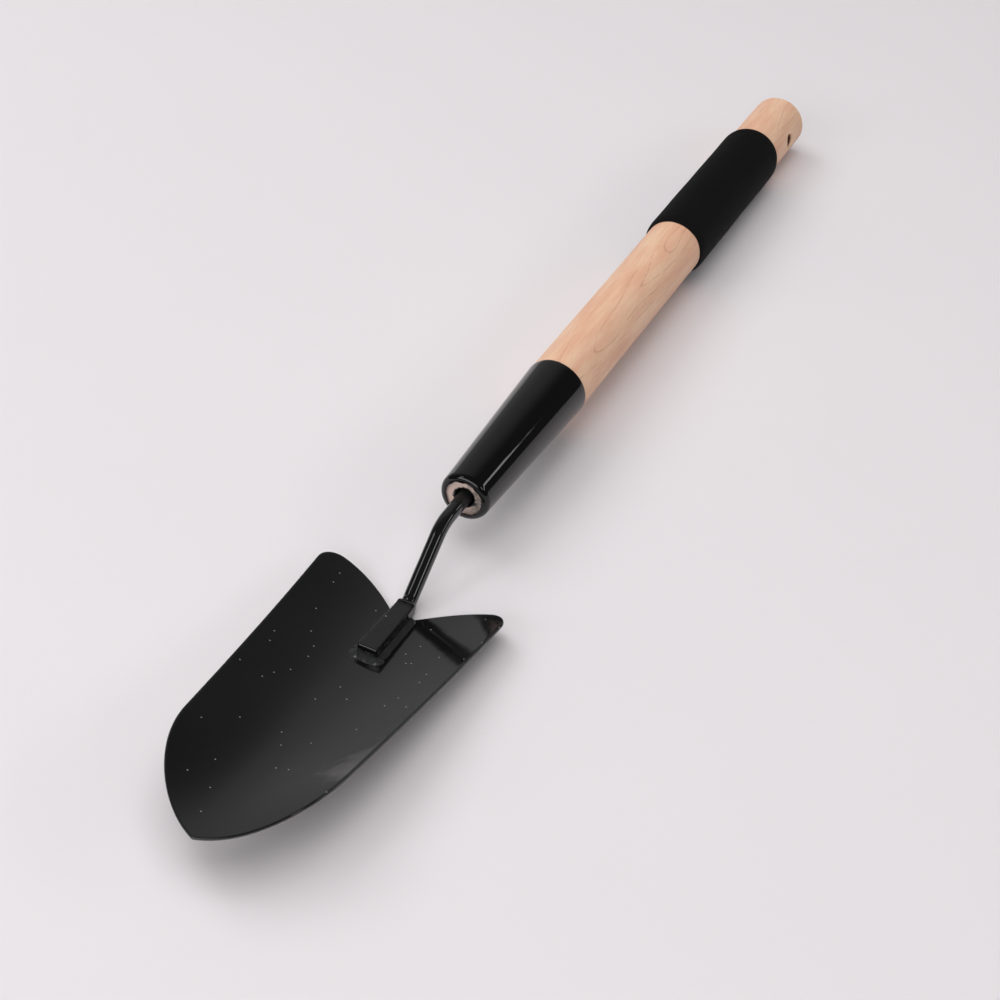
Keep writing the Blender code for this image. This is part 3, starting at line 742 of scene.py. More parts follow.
    end_frame = nodes.new("NodeFrame")
    end_frame.label = "Front end: raw grain, and painted shade in the bore"
    parts = nodes.new("ShaderNodeSeparateXYZ")
    parts.label = "Place along the handle"
    off_axis = nodes.new("ShaderNodeVectorMath")
    off_axis.label = "Across the handle"
    off_axis.operation = "MULTIPLY"
    off_axis.inputs[1].default_value = (0.0, 1.0, 1.0)
    reach = nodes.new("ShaderNodeVectorMath")
    reach.label = "Distance from the axis"
    reach.operation = "LENGTH"
    fray = nodes.new("ShaderNodeTexNoise")
    fray.label = "Uneven edge of the painted shade and of the darkening"
    fray.inputs["Scale"].default_value = 0.6
    fray.inputs["Detail"].default_value = 3.0
    frayed = nodes.new("ShaderNodeMath")
    frayed.label = "Distance, frayed"
    frayed.operation = "MULTIPLY_ADD"
    frayed.inputs[1].default_value = -3.2
    # Painted shade: black is painted over the wall of the bore and over its eased lip, where the recess
    # lies in shade. Noise frays its edge.
    painted = nodes.new("ShaderNodeMapRange")
    painted.label = "Painted shade in the bore and on its lip"
    painted.inputs["From Min"].default_value = 3.7
    painted.inputs["From Max"].default_value = 4.3
    painted.inputs["To Min"].default_value = 1.0
    painted.inputs["To Max"].default_value = 0.0
    forward = nodes.new("ShaderNodeMath")
    forward.label = "Only round the bar's bore"
    forward.operation = "GREATER_THAN"
    forward.inputs[1].default_value = -90.0
    bore_shade_amount = nodes.new("ShaderNodeMath")
    bore_shade_amount.label = "Amount of painted shade in the bore"
    bore_shade_amount.operation = "MULTIPLY"
    front = nodes.new("ShaderNodeMapRange")
    front.label = "Raw end grain at the front"
    front.inputs["From Min"].default_value = -3.2
    front.inputs["From Max"].default_value = -2.2
    bleached = nodes.new("ShaderNodeMix")
    bleached.label = "End grain, paler and greyer"
    bleached.data_type = "RGBA"
    # The front end grain is mixed towards a dark grey-brown, more so towards its left side (+y), with a
    # frayed edge.
    leftward_darkening = nodes.new("ShaderNodeMath")
    leftward_darkening.label = "Darker towards the left side"
    leftward_darkening.operation = "MULTIPLY_ADD"
    leftward_darkening.inputs[1].default_value = 16.0
    leftward_darkening_amount = nodes.new("ShaderNodeMapRange")
    leftward_darkening_amount.label = "Amount of darkening towards the left"
    leftward_darkening_amount.inputs["From Min"].default_value = 8.0
    leftward_darkening_amount.inputs["From Max"].default_value = 16.0
    end_grain = nodes.new("ShaderNodeMix")
    end_grain.label = "Pinkish grey, darker towards the left"
    end_grain.data_type = "RGBA"
    end_grain.inputs["A"].default_value = (0.74, 0.57, 0.50, 1.0)
    end_grain.inputs["B"].default_value = (0.20, 0.165, 0.145, 1.0)
    # This mix lays the painted shade of the bore, near black, over the wood's colour.
    bore_shaded = nodes.new("ShaderNodeMix")
    bore_shaded.label = "Painted shade, black, over all"
    bore_shaded.data_type = "RGBA"
    bore_shaded.inputs["B"].default_value = (0.005, 0.005, 0.005, 1.0)
    # Painted shade: the wall inside the hanging hole, below the wood's surface and within 7 mm of the hole
    # along the handle, is painted dark brown where the hole lies in shade.
    hole_frame = nodes.new("NodeFrame")
    hole_frame.label = "Hanging hole: painted shade inside it"
    near_hole = nodes.new("ShaderNodeMath")
    near_hole.label = "Within a hole's width of it"
    near_hole.operation = "COMPARE"
    near_hole.inputs[1].default_value = HOLE_X
    near_hole.inputs[2].default_value = 7.0
    below = nodes.new("ShaderNodeMapRange")
    below.label = "Below the wood's surface"
    below.inputs["From Min"].default_value = 13.4
    below.inputs["From Max"].default_value = 14.3
    below.inputs["To Min"].default_value = 1.0
    below.inputs["To Max"].default_value = 0.0
    hole_shade_amount = nodes.new("ShaderNodeMath")
    hole_shade_amount.label = "Amount of painted shade in the hanging hole"
    hole_shade_amount.operation = "MULTIPLY"
    hole_shaded = nodes.new("ShaderNodeMix")
    hole_shaded.label = "Painted shade, dark brown"
    hole_shaded.data_type = "RGBA"
    hole_shaded.inputs["B"].default_value = (0.115, 0.045, 0.026, 1.0)
    for node, spot in ((parts, (600, 500)), (off_axis, (400, 750)), (reach, (600, 750)),
                       (fray, (600, 1000)), (frayed, (800, 850)), (painted, (1000, 850)),
                       (forward, (1000, 600)), (bore_shade_amount, (1200, 700)), (front, (800, 500)),
                       (bleached, (1000, 300)), (leftward_darkening, (800, 150)), (leftward_darkening_amount, (1000, 50)),
                       (end_grain, (1150, 50)), (bore_shaded, (1200, 300))):
        node.location = spot
        node.parent = end_frame
    for node, spot in ((near_hole, (1400, 900)), (below, (1400, 700)), (hole_shade_amount, (1600, 800)),
                       (hole_shaded, (1800, 500))):
        node.location = spot
        node.parent = hole_frame
    links.new(place.outputs["Vector"], parts.inputs["Vector"])
    links.new(place.outputs["Vector"], off_axis.inputs[0])
    links.new(off_axis.outputs["Vector"], reach.inputs[0])
    links.new(place.outputs["Vector"], fray.inputs["Vector"])
    links.new(fray.outputs["Fac"], frayed.inputs[0])
    links.new(reach.outputs["Value"], frayed.inputs[2])
    links.new(frayed.outputs["Value"], painted.inputs["Value"])
    links.new(parts.outputs["X"], front.inputs["Value"])
    links.new(fray.outputs["Fac"], leftward_darkening.inputs[0])
    links.new(parts.outputs["Y"], leftward_darkening.inputs[2])
    links.new(leftward_darkening.outputs["Value"], leftward_darkening_amount.inputs["Value"])
    links.new(leftward_darkening_amount.outputs["Result"], end_grain.inputs["Factor"])
    links.new(end_grain.outputs["Result"], bleached.inputs["B"])
    links.new(front.outputs["Result"], bleached.inputs["Factor"])
    links.new(pored.outputs["Result"], bleached.inputs["A"])
    links.new(bleached.outputs["Result"], bore_shaded.inputs["A"])
    links.new(parts.outputs["X"], forward.inputs[0])
    links.new(painted.outputs["Result"], bore_shade_amount.inputs[0])
    links.new(forward.outputs["Value"], bore_shade_amount.inputs[1])
    links.new(bore_shade_amount.outputs["Value"], bore_shaded.inputs["Factor"])
    links.new(parts.outputs["X"], near_hole.inputs[0])
    links.new(reach.outputs["Value"], below.inputs["Value"])
    links.new(near_hole.outputs["Value"], hole_shade_amount.inputs[0])
    links.new(below.outputs["Result"], hole_shade_amount.inputs[1])
    links.new(hole_shade_amount.outputs["Value"], hole_shaded.inputs["Factor"])
    links.new(bore_shaded.outputs["Result"], hole_shaded.inputs["A"])
    links.new(hole_shaded.outputs["Result"], timber.inputs["Base Color"])

    feel_frame = nodes.new("NodeFrame")
    feel_frame.label = "Sanded and sealed"
    sheen = nodes.new("ShaderNodeMapRange")
    sheen.label = "Varnish, duller along open grain"
    sheen.inputs["To Min"].default_value = 0.42
    sheen.inputs["To Max"].default_value = 0.6
    relief = nodes.new("ShaderNodeBump")
    relief.label = "Raised fibres"
    relief.inputs["Strength"].default_value = 0.25
    relief.inputs["Distance"].default_value = 0.00006
    for node, spot in ((sheen, (900, -100)), (relief, (900, -500))):
        node.location = spot
        node.parent = feel_frame
    links.new(fibre.outputs["Fac"], sheen.inputs["Value"])
    links.new(fibre.outputs["Fac"], relief.inputs["Height"])
    links.new(sheen.outputs["Result"], timber.inputs["Roughness"])
    links.new(relief.outputs["Normal"], timber.inputs["Normal"])
    print(f"{name}: {len(nodes)} nodes")
    return material


handle_wood = turned_wood("turned_beech")

# %% [markdown]
# ## The handle
# The handle came off a lathe, so it is a profile turned about the axis: a bore for the tang, rounded end
# grain, a tapered seat under the sleeve, a long plain barrel, and a softly rounded butt. A Screw modifier
# would do, but a profile times an angle is just as short and lets the surface wander a little.

# %% Turn a profile
def turn_profile(profile, around):
    """Each profile point is x and radius; every ring is that radius times the cosine and sine round it."""
    angle = np.linspace(0.0, 2 * np.pi, around, endpoint=False)
    x = np.repeat(profile[:, :1], around, axis=1)
    return np.stack([x, profile[:, 1:] * np.cos(angle), profile[:, 1:] * np.sin(angle)], axis=-1)


def joined(*parts):
    """Profile pieces one after another, with the long straight runs cut into steps of 2 mm or less."""
    points = np.vstack([np.atleast_2d(part) for part in parts]).astype(float)
    gaps = np.linalg.norm(np.diff(points, axis=0), axis=1)
    distance = np.append(0.0, np.cumsum(gaps))
    extra = [np.linspace(a, b, int(np.ceil(g / 2.0)) + 1)[1:-1] for a, b, g in
             zip(distance[:-1], distance[1:], gaps) if g > 2.0]
    stops = np.sort(np.concatenate([distance, *extra]))
    return np.stack([np.interp(stops, distance, points[:, k]) for k in range(2)], axis=-1)


def radially(rings, amount):
    """Push every point away from the handle's axis by its amount."""
    radius = np.linalg.norm(rings[..., 1:], axis=-1, keepdims=True)
    pushed = rings.copy()
    pushed[..., 1:] *= 1 + amount[..., None] / radius
    return pushed


# %% The turned blank
WOOD_RADIUS = 15.0
BORE_RADIUS = 4.6
seat_nose = circle((-2.9, 9.2), 1.8, 0.0, np.pi / 2, 9)
butt = circle((-HANDLE_LENGTH + 3.0, WOOD_RADIUS - 3.0), 3.0, np.pi / 2, np.pi, 12)
blank = joined([(-76.0, 0.8), (-76.0, 3.8), (-75.4, 4.5), (-74.6, BORE_RADIUS), (-1.6, BORE_RADIUS),
                (-1.25, 4.75), (-1.1, 5.1)],
               seat_nose, [(-95.2, 14.5), (-95.35, 14.9), (-95.6, WOOD_RADIUS)], butt,
               [(-HANDLE_LENGTH, 6.0), (-HANDLE_LENGTH, 1.2)])
wood = turn_profile(blank, 192)
wood = radially(wood, 0.03 * uneven(wood, 40.0, 31) * (wood[..., 0] < -96))
wood_mesh = make_mesh("wood_handle", skin_points(wood), skin_faces(*wood.shape[:2]))
handle = stand_for("wood_handle", wood_mesh, handle_wood)

# %% [markdown]
# ## The hanging hole
# A hole is drilled through the handle near its butt, to hang it from a nail, and its edges were eased with
# sandpaper. The drill is a mesh too: at every angle round it, its mouth follows the curved surface of the
# wood and flares, so cutting it away leaves an edge that is rounded evenly all the way. The cut is made
# once and kept, so that no cutter is left in the scene.

# %% Drill the hanging hole
HOLE_RADIUS = 3.75
HOLE_TILT = radians(9.0)
flare = np.array([1.6, 0.75, 0.42, 0.2, 0.06, 0.0])
depth = np.array([-1.2, -0.12, 0.1, 0.35, 0.75, 1.3])
angle = np.linspace(0.0, 2 * np.pi, 72, endpoint=False)
hole_radius = (HOLE_RADIUS + np.append(flare, flare[::-1]))[:, None]
round_x = hole_radius * np.cos(angle)
round_up = hole_radius * np.sin(angle)
surface = np.sqrt(WOOD_RADIUS ** 2 - np.minimum(np.abs(round_up), 14.0) ** 2)
mouth = np.append(np.ones(6), -np.ones(6))[:, None] * (surface - np.append(depth, depth[::-1])[:, None])
drill = np.stack([HOLE_X + round_x, mouth * np.cos(HOLE_TILT) - round_up * np.sin(HOLE_TILT),
                  mouth * np.sin(HOLE_TILT) + round_up * np.cos(HOLE_TILT)], axis=-1)
drill_mesh = make_mesh("hole_drill", skin_points(drill), skin_faces(*drill.shape[:2]))
drill_object = bpy.data.objects.new("hole_drill", drill_mesh)
bpy.context.scene.collection.objects.link(drill_object)
cut = handle.modifiers.new("hanging_hole", "BOOLEAN")
cut.object = drill_object
cut.operation = "DIFFERENCE"
bpy.context.view_layer.update()
drilled = bpy.data.meshes.new_from_object(handle.evaluated_get(bpy.context.evaluated_depsgraph_get()))
handle.modifiers.clear()
handle.data = drilled
corners = np.empty(len(drilled.vertices) * 3, np.float32)
drilled.vertices.foreach_get("co", corners)
drilled_mm = pick_up(corners.reshape(-1, 3)).astype(np.float32)
drilled.attributes["tool_mm"].data.foreach_set("vector", drilled_mm.ravel())
bpy.data.objects.remove(drill_object)
print("drilled handle", len(drilled.polygons), "faces,", [m.name for m in drilled.materials])

# %% [markdown]
# ## Dipped vinyl
# The front of the handle was dipped in liquid vinyl, which set to a very glossy black skin. Its gloss is
# what one sees: long mirror-like streaks that waver because the skin ran a little before it set. So the
# roughness is low, the relief is slow and shallow, and a few finer ripples and grains break it up.

# %% The vinyl
vinyl, nodes, links = empty_material("dipped_vinyl")
output = nodes.new("ShaderNodeOutputMaterial")
output.label = "Vinyl skin"
output.location = (900, 0)
skin = nodes.new("ShaderNodeBsdfPrincipled")
skin.label = "Black plasticised vinyl"
skin.location = (600, 0)
skin.inputs["Base Color"].default_value = (0.0028, 0.0029, 0.0032, 1.0)
skin.inputs["IOR"].default_value = 1.45
place_node = nodes.new("ShaderNodeAttribute")
place_node.label = "Millimetres on the tool"
place_node.location = (-900, 0)
place_node.attribute_name = "tool_mm"
run_frame = nodes.new("NodeFrame")
run_frame.label = "How the dip ran"
slow = nodes.new("ShaderNodeTexNoise")
slow.label = "Slow sags"
slow.inputs["Scale"].default_value = 0.08
slow.inputs["Detail"].default_value = 1.0
sag = nodes.new("ShaderNodeBump")
sag.label = "Sags as relief"
sag.inputs["Strength"].default_value = 0.12
sag.inputs["Distance"].default_value = 0.0001
grain = nodes.new("ShaderNodeTexNoise")
grain.label = "Grains in the skin"
grain.inputs["Scale"].default_value = 1.3
grain.inputs["Detail"].default_value = 2.0
ripple_bump = nodes.new("ShaderNodeBump")
ripple_bump.label = "Grains as relief"
ripple_bump.inputs["Strength"].default_value = 0.12
ripple_bump.inputs["Distance"].default_value = 0.00002
gloss_frame = nodes.new("NodeFrame")
gloss_frame.label = "Gloss"
smear = nodes.new("ShaderNodeTexNoise")
smear.label = "Finger smears"
smear.inputs["Scale"].default_value = 0.1
smear.inputs["Detail"].default_value = 4.0
gloss = nodes.new("ShaderNodeMapRange")
gloss.label = "Mirror to faintly smeared"
gloss.inputs["From Min"].default_value = 0.35
gloss.inputs["From Max"].default_value = 0.75
gloss.inputs["To Min"].default_value = 0.035
gloss.inputs["To Max"].default_value = 0.06
for node, spot in ((slow, (-600, -200)), (sag, (0, -200)), (grain, (-600, -450)),
                   (ripple_bump, (250, -300))):
    node.location = spot
    node.parent = run_frame
for node, spot in ((smear, (-600, 150)), (gloss, (0, 150))):
    node.location = spot
    node.parent = gloss_frame
links.new(skin.outputs["BSDF"], output.inputs["Surface"])
links.new(place_node.outputs["Vector"], slow.inputs["Vector"])
links.new(place_node.outputs["Vector"], grain.inputs["Vector"])
links.new(place_node.outputs["Vector"], smear.inputs["Vector"])
links.new(slow.outputs["Fac"], sag.inputs["Height"])
links.new(grain.outputs["Fac"], ripple_bump.inputs["Height"])
links.new(sag.outputs["Normal"], ripple_bump.inputs["Normal"])
links.new(ripple_bump.outputs["Normal"], skin.inputs["Normal"])
links.new(smear.outputs["Fac"], gloss.inputs["Value"])
links.new(gloss.outputs["Result"], skin.inputs["Roughness"])
print("vinyl:", len(nodes), "nodes")

# %% [markdown]
# ## The sleeve
# The sleeve follows the handle's taper, rolls over the front edge and stops short of the bore, where it
# was trimmed by hand and left a ragged edge. It is a closed tube: out along the skin, round the trimmed
# back edge, and home along the inside. The mouth's radius is changed with the angle to fray it.

# %% The dipped sleeve
SLEEVE_LENGTH = 95.0
CONE = (15.5 - 11.8) / SLEEVE_LENGTH
NOSE = 3.0
WALL = 0.6
nose_radius = 11.8 + CONE * NOSE - NOSE
outer_nose = circle((-NOSE, nose_radius), NOSE, 0.0, np.pi / 2, 14)
back_lip = circle((-SLEEVE_LENGTH + 0.3, 15.5 - 0.3), 0.3, np.pi / 2, 3 * np.pi / 2, 9)
inner_nose = circle((-NOSE, nose_radius), NOSE - WALL, np.pi / 2, 0.0, 8)
mouth_lip = circle((-WALL / 2, 8.75), WALL / 2, 3 * np.pi / 2, 2 * np.pi, 5)[1:-1]
tube = joined(outer_nose, back_lip, inner_nose, [(-WALL, 8.75), (-WALL * 0.9, 8.6), (-WALL * 0.5, 8.5),
              (-WALL * 0.1, 8.6), (0.0, 8.75)])
sleeve = turn_profile(tube, 288)
angle = np.arctan2(sleeve[..., 2], sleeve[..., 1])
round_mouth = np.stack([np.cos(angle), np.sin(angle), angle * 0], axis=-1)
ragged = 0.22 * uneven(round_mouth * 8.6, 4.0, 41) + 0.12 * uneven(round_mouth * 8.6, 1.3, 42)
nick = 0.75 * swell(np.angle(np.exp(1j * (angle - radians(20)))), 0.0, 0.09)
at_mouth = np.clip(1 - (np.linalg.norm(sleeve[..., 1:], axis=-1) - 8.5) / 1.0, 0.0, 1.0)
wander = (0.03 * uneven(sleeve, 45.0, 43) + 0.004 * uneven(sleeve, 9.0, 44) - 0.035) * (1 - at_mouth)
sleeve = radially(sleeve, wander + at_mouth * (ragged + nick))
sleeve[..., 0] += 0.12 * uneven(round_mouth * 15, 14.0, 45) * (sleeve[..., 0] < -90)
sleeve_mesh = make_mesh("front_sleeve", skin_points(sleeve, True), skin_faces(*sleeve.shape[:2], True))
stand_for("front_sleeve", sleeve_mesh, vinyl)

# %% [markdown]
# ## Foam
# The grip is a tube of closed-cell foam rubber. It is almost without shine: light is lost between cells a
# few tenths of a millimetre across. The cells go into the relief, and pale scuffs where the skin is rubbed
# go into the colour.

# %% The foam
foam, nodes, links = empty_material("closed_cell_foam")
output = nodes.new("ShaderNodeOutputMaterial")
output.label = "Foam"
output.location = (900, 0)
rubber = nodes.new("ShaderNodeBsdfPrincipled")
rubber.label = "Matt foam rubber"
rubber.location = (600, 0)
rubber.inputs["Roughness"].default_value = 0.92
rubber.inputs["IOR"].default_value = 1.3
place_node = nodes.new("ShaderNodeAttribute")
place_node.label = "Millimetres on the tool"
place_node.location = (-900, 0)
place_node.attribute_name = "tool_mm"
cell_frame = nodes.new("NodeFrame")
cell_frame.label = "Cells"
cell = nodes.new("ShaderNodeTexVoronoi")
cell.label = "Cells a third of a millimetre across"
cell.inputs["Scale"].default_value = 2.6
cell_bump = nodes.new("ShaderNodeBump")
cell_bump.label = "Open cells as pits"
cell_bump.inputs["Strength"].default_value = 0.6
cell_bump.inputs["Distance"].default_value = 0.0001
tone_frame = nodes.new("NodeFrame")
tone_frame.label = "Scuffs"
scuff_run = nodes.new("ShaderNodeMapping")
scuff_run.label = "Drawn round the grip"
scuff_run.inputs["Scale"].default_value = (0.25, 0.06, 0.06)
scuff = nodes.new("ShaderNodeTexNoise")
scuff.label = "Rubbed places"
scuff.inputs["Scale"].default_value = 1.0
scuff.inputs["Detail"].default_value = 6.0
scuff.inputs["Roughness"].default_value = 0.7
tone = nodes.new("ShaderNodeValToRGB")
tone.label = "Black to chalky"
tone.color_ramp.elements[0].position = 0.6
tone.color_ramp.elements[0].color = (0.0042, 0.0042, 0.0043, 1.0)
tone.color_ramp.elements[1].position = 0.85
tone.color_ramp.elements[1].color = (0.016, 0.016, 0.0155, 1.0)
for node, spot in ((cell, (-600, -250)), (cell_bump, (250, -250))):
    node.location = spot
    node.parent = cell_frame
for node, spot in ((scuff_run, (-600, 250)), (scuff, (-350, 250)), (tone, (0, 250))):
    node.location = spot
    node.parent = tone_frame
links.new(rubber.outputs["BSDF"], output.inputs["Surface"])
links.new(place_node.outputs["Vector"], cell.inputs["Vector"])
links.new(cell.outputs["Distance"], cell_bump.inputs["Height"])
links.new(cell_bump.outputs["Normal"], rubber.inputs["Normal"])
links.new(place_node.outputs["Vector"], scuff_run.inputs["Vector"])
links.new(scuff_run.outputs["Vector"], scuff.inputs["Vector"])
links.new(scuff.outputs["Fac"], tone.inputs["Fac"])
links.new(tone.outputs["Color"], rubber.inputs["Base Color"])
print("foam:", len(nodes), "nodes")

# %% [markdown]
# ## The foam grip
# The tube is stretched over the wood, which draws its ends in to a thin lip and leaves the middle plump.
# Foam is never quite round, so slow waves swell and pinch it by a tenth of a millimetre or so, and its
# trimmed ends wander a little along the handle.

# %% The grip
GRIP_FRONT = -239.3
GRIP_BACK = -353.8
GRIP_RADIUS = 16.8
LIP = 15.4
INSIDE = 15.08
bulge = np.linspace(0.0, np.pi / 2, 14)
lip_rise = LIP + (GRIP_RADIUS - LIP) * np.sin(bulge)
lip_run = 6.0 * (1 - np.cos(bulge))
tube = joined(np.stack([GRIP_FRONT - lip_run, lip_rise], axis=-1),
              np.stack([GRIP_BACK + lip_run[::-1], lip_rise[::-1]], axis=-1),
              [(GRIP_BACK - 0.04, (LIP + INSIDE) / 2), (GRIP_BACK, INSIDE)],
              [(GRIP_FRONT, INSIDE), (GRIP_FRONT + 0.04, (LIP + INSIDE) / 2)])
grip = turn_profile(tube, 240)
angle = np.arctan2(grip[..., 2], grip[..., 1])
outside = np.clip((np.linalg.norm(grip[..., 1:], axis=-1) - LIP) / 1.0, 0.0, 1.0)
grip = radially(grip, (0.07 * uneven(grip, 30.0, 51) + 0.03 * uneven(grip, 9.0, 52) - 0.08) * outside)
near_end = swell(grip[..., 0], GRIP_FRONT, 5.0) + swell(grip[..., 0], GRIP_BACK, 5.0)
round_grip = np.stack([np.cos(angle), np.sin(angle), np.sign(grip[..., 0] + 300)], axis=-1)
grip[..., 0] += 0.18 * uneven(round_grip * 15, 16.0, 53) * near_end
grip_mesh = make_mesh("foam_grip", skin_points(grip, True), skin_faces(*grip.shape[:2], True))
grip_piece = stand_for("foam_grip", grip_mesh, foam)

# %% [markdown]
# ## The glue
# Glue fills the bore round the tang. Only its front is ever seen, deep in the mouth, where it drew up to
# the steel and to the wood as it set. It is a plug with a hollow for the tang, clear amber and glossy.

# %% The glue and its finish
glue, nodes, links = empty_material("amber_epoxy")
output = nodes.new("ShaderNodeOutputMaterial")
output.label = "Glue"
output.location = (600, 0)
resin = nodes.new("ShaderNodeBsdfPrincipled")
resin.label = "Set amber resin"
resin.location = (300, 0)
resin.inputs["Roughness"].default_value = 0.22
resin.inputs["IOR"].default_value = 1.5
place_node = nodes.new("ShaderNodeAttribute")
place_node.label = "Millimetres on the tool"
place_node.location = (-600, 0)
place_node.attribute_name = "tool_mm"
cloud = nodes.new("ShaderNodeTexNoise")
cloud.label = "Wood dust caught in it"
cloud.location = (-350, 0)
cloud.inputs["Scale"].default_value = 0.9
cloud.inputs["Detail"].default_value = 4.0
amber = nodes.new("ShaderNodeValToRGB")
amber.label = "Dark to cloudy amber"
amber.location = (-50, 0)
amber.color_ramp.elements[0].color = (0.12, 0.06, 0.015, 1.0)
amber.color_ramp.elements[1].color = (0.42, 0.27, 0.1, 1.0)
links.new(resin.outputs["BSDF"], output.inputs["Surface"])
links.new(place_node.outputs["Vector"], cloud.inputs["Vector"])
links.new(cloud.outputs["Fac"], amber.inputs["Fac"])
links.new(amber.outputs["Color"], resin.inputs["Base Color"])
hollow = np.linspace(3.3, 4.45, 9)
meniscus = np.stack([-13.6 + 0.6 * ((hollow - 3.875) / 0.575) ** 2, hollow], axis=-1)
plug = joined([(-69.5, 0.6), (-69.5, 2.4)], meniscus, [(-74.9, 4.45), (-75.0, 4.3), (-75.0, 0.6)])
glue_rings = turn_profile(plug, 96)
glue_mesh = make_mesh("tang_glue", skin_points(glue_rings), skin_faces(*glue_rings.shape[:2]))
stand_for("tang_glue", glue_mesh, glue)

# %% [markdown]
# ## The ground
# The tool lies on a plain pale sheet. It is wide enough to fill every view, and a trace of mottling keeps
# it from looking like a screen.

# %% Pale floor
floor_mesh = bpy.data.meshes.new("floor")
FLOOR_HALF = 20.0
floor_mesh.from_pydata([(-FLOOR_HALF, -FLOOR_HALF, 0), (FLOOR_HALF, -FLOOR_HALF, 0),
                        (FLOOR_HALF, FLOOR_HALF, 0), (-FLOOR_HALF, FLOOR_HALF, 0)], [], [(0, 1, 2, 3)])
floor = bpy.data.objects.new("floor", floor_mesh)
bpy.context.scene.collection.objects.link(floor)
paper, nodes, links = empty_material("pale_paper")
output = nodes.new("ShaderNodeOutputMaterial")
output.label = "Floor"
output.location = (600, 0)
sheet = nodes.new("ShaderNodeBsdfPrincipled")
sheet.label = "Matt paper"
sheet.location = (300, 0)
sheet.inputs["Roughness"].default_value = 0.9
sheet.inputs["Specular IOR Level"].default_value = 0.2
spot = nodes.new("ShaderNodeTexCoord")
spot.label = "Metres on the floor"
spot.location = (-600, 0)
mottle = nodes.new("ShaderNodeTexNoise")
mottle.label = "Faint mottling"
mottle.location = (-350, 0)
mottle.inputs["Scale"].default_value = 6.0
mottle.inputs["Detail"].default_value = 3.0
shade = nodes.new("ShaderNodeValToRGB")
shade.label = "Two near whites"
shade.location = (-50, 0)
shade.color_ramp.elements[0].color = (0.78, 0.745, 0.765, 1.0)
shade.color_ramp.elements[1].color = (0.80, 0.765, 0.785, 1.0)
links.new(sheet.outputs["BSDF"], output.inputs["Surface"])
links.new(spot.outputs["Object"], mottle.inputs["Vector"])
links.new(mottle.outputs["Fac"], shade.inputs["Fac"])
links.new(shade.outputs["Color"], sheet.inputs["Base Color"])
floor_mesh.materials.append(paper)
print("floor", FLOOR_HALF * 2, "m across")

# %% [markdown]
# ## Light
# Black glossy things show the room more than themselves, so the lights are placed for what they mirror.
# The overhead and the key at the left light the floor and the wood, and are hidden from mirrors. The front
# softbox lights the tip and the drops on the weld. Two small lamps draw the two lines down the neck, and a
# long low strip at the right is mirrored only at its corner, as the thin bright line on the sleeve. The
# room itself is dim, apart from a pale wall behind the tool, which the blade's wing and the sleeve mirror.

# %% Softboxes
def softbox(name, azimuth, elevation, distance, width, height, radiance, mirrored=True):
    """A lamp that faces the tool; its power is radiance times area times pi."""
    lamp = bpy.data.lights.new(name, "AREA")
    lamp.shape = "RECTANGLE"
    lamp.size = width
    lamp.size_y = height
    lamp.energy = radiance * width * height * np.pi
    holder = bpy.data.objects.new(name, lamp)
    level = distance * np.cos(radians(elevation))
    holder.location = (level * np.cos(radians(azimuth)), level * np.sin(radians(azimuth)),
                       distance * np.sin(radians(elevation)))
    holder.rotation_euler = (radians(90.0 - elevation), 0.0, radians(azimuth + 90.0))
    bpy.context.scene.collection.objects.link(holder)
    holder.visible_camera = False
    holder.visible_glossy = mirrored
    print(f"{name}: radiance {radiance}, {width} by {height} m")


softbox("left_key", -97.0, 50.0, 2.4, 1.38, 1.38, 3.0, mirrored=False)
softbox("front_softbox", -10.0, 27.0, 2.4, 2.7, 1.0, 2.9)
softbox("right_strip", 111.0, 27.4, 2.0, 1.76, 0.21, 3.6)
softbox("neck_left", -46.0, 44.0, 2.0, 0.30, 0.42, 3.0)
softbox("neck_right", 64.0, 33.0, 2.0, 0.30, 0.42, 3.6)
softbox("overhead_softbox", 40.0, 86.0, 3.4, 3.2, 3.2, 1.95, mirrored=False)

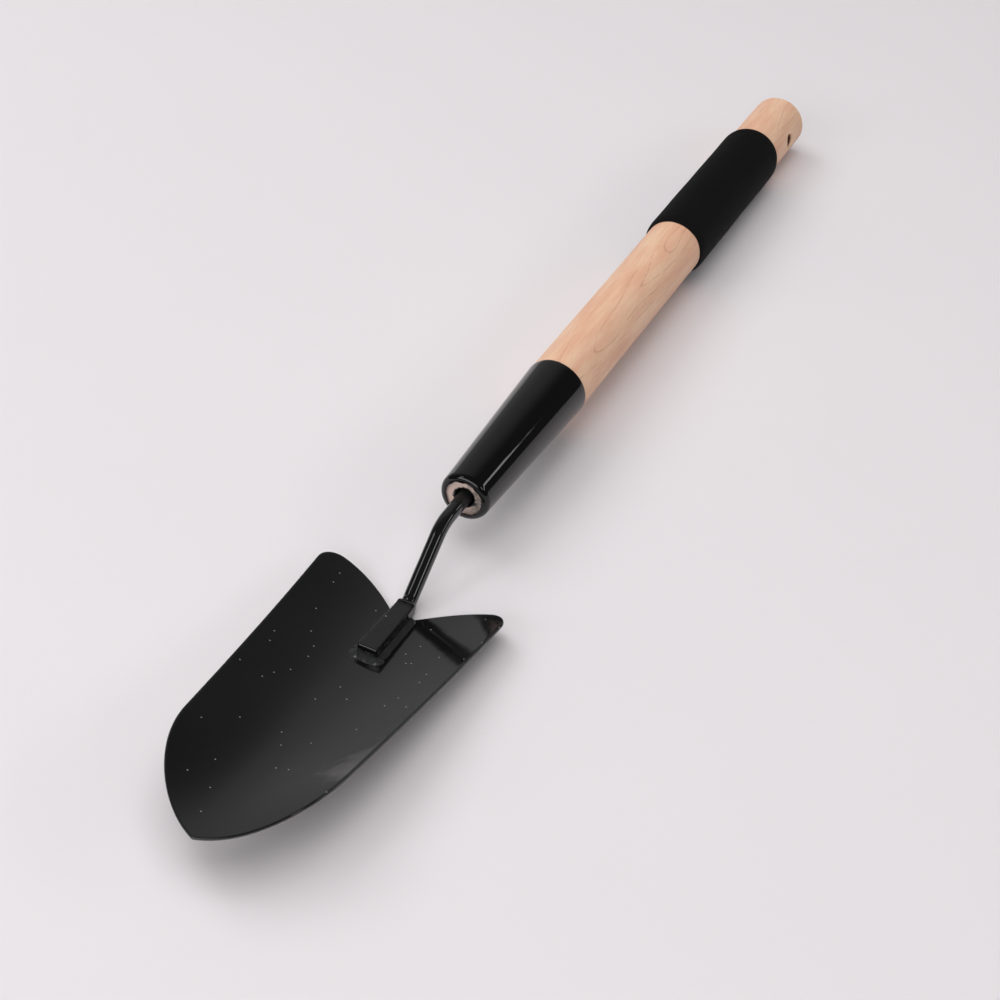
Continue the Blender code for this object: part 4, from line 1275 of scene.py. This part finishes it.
# %% The dim room and its pale wall
world = bpy.data.worlds.new("dim_room")
world.use_nodes = True
nodes = world.node_tree.nodes
links = world.node_tree.links
nodes.clear()
output = nodes.new("ShaderNodeOutputWorld")
output.label = "Room"
output.location = (600, 0)
room = nodes.new("ShaderNodeBackground")
room.label = "Light from the room"
room.location = (400, 0)
way = nodes.new("ShaderNodeTexCoord")
way.label = "Direction"
way.location = (-600, 0)
toward = nodes.new("ShaderNodeVectorMath")
toward.label = "How nearly towards the pale wall"
toward.location = (-400, 0)
toward.operation = "DOT_PRODUCT"
WALL_AZIMUTH = radians(-140.0)
WALL_ELEVATION = radians(18.0)
toward.inputs[1].default_value = (np.cos(WALL_AZIMUTH) * np.cos(WALL_ELEVATION),
                                  np.sin(WALL_AZIMUTH) * np.cos(WALL_ELEVATION), np.sin(WALL_ELEVATION))
wall = nodes.new("ShaderNodeMapRange")
wall.label = "Pale wall with soft edges"
wall.location = (-150, 0)
wall.interpolation_type = "SMOOTHSTEP"
wall.inputs["From Min"].default_value = np.cos(radians(57.0))
wall.inputs["From Max"].default_value = np.cos(radians(20.0))
wall.inputs["To Min"].default_value = 0.07
wall.inputs["To Max"].default_value = 0.32
links.new(way.outputs["Generated"], toward.inputs[0])
links.new(toward.outputs["Value"], wall.inputs["Value"])
links.new(wall.outputs["Result"], room.inputs["Color"])
links.new(room.outputs["Background"], output.inputs["Surface"])
bpy.context.scene.world = world
bpy.context.scene.view_settings.view_transform = "Standard"
print("room:", len(nodes), "nodes")

# %% [markdown]
# ## Camera
# The tool is seen from in front of its blade and above, with a long lens that keeps its lines straight.
# The camera is set by where it stands, what it looks at, and a roll of a few degrees.

# %% The camera
EYE = Vector((0.68881, 0.27945, 0.59651))
LOOK = Vector((0.69251, 0.30442, 0.65403))
ROLL = radians(4.13)
camera_data = bpy.data.cameras.new("camera")
camera_data.lens = 72.0
camera_data.sensor_width = 36.0
camera = bpy.data.objects.new("camera", camera_data)
camera.location = EYE
camera.rotation_mode = "QUATERNION"
camera.rotation_quaternion = (-LOOK).to_track_quat("-Z", "Y") @ Quaternion((0.0, 0.0, 1.0), ROLL)
bpy.context.scene.collection.objects.link(camera)
bpy.context.scene.camera = camera
bpy.context.view_layer.update()
print("camera axes", [[round(v, 4) for v in row[:3]] for row in camera.matrix_world][:3])

# %% [markdown]
# ## End

# %% End of the script
import json
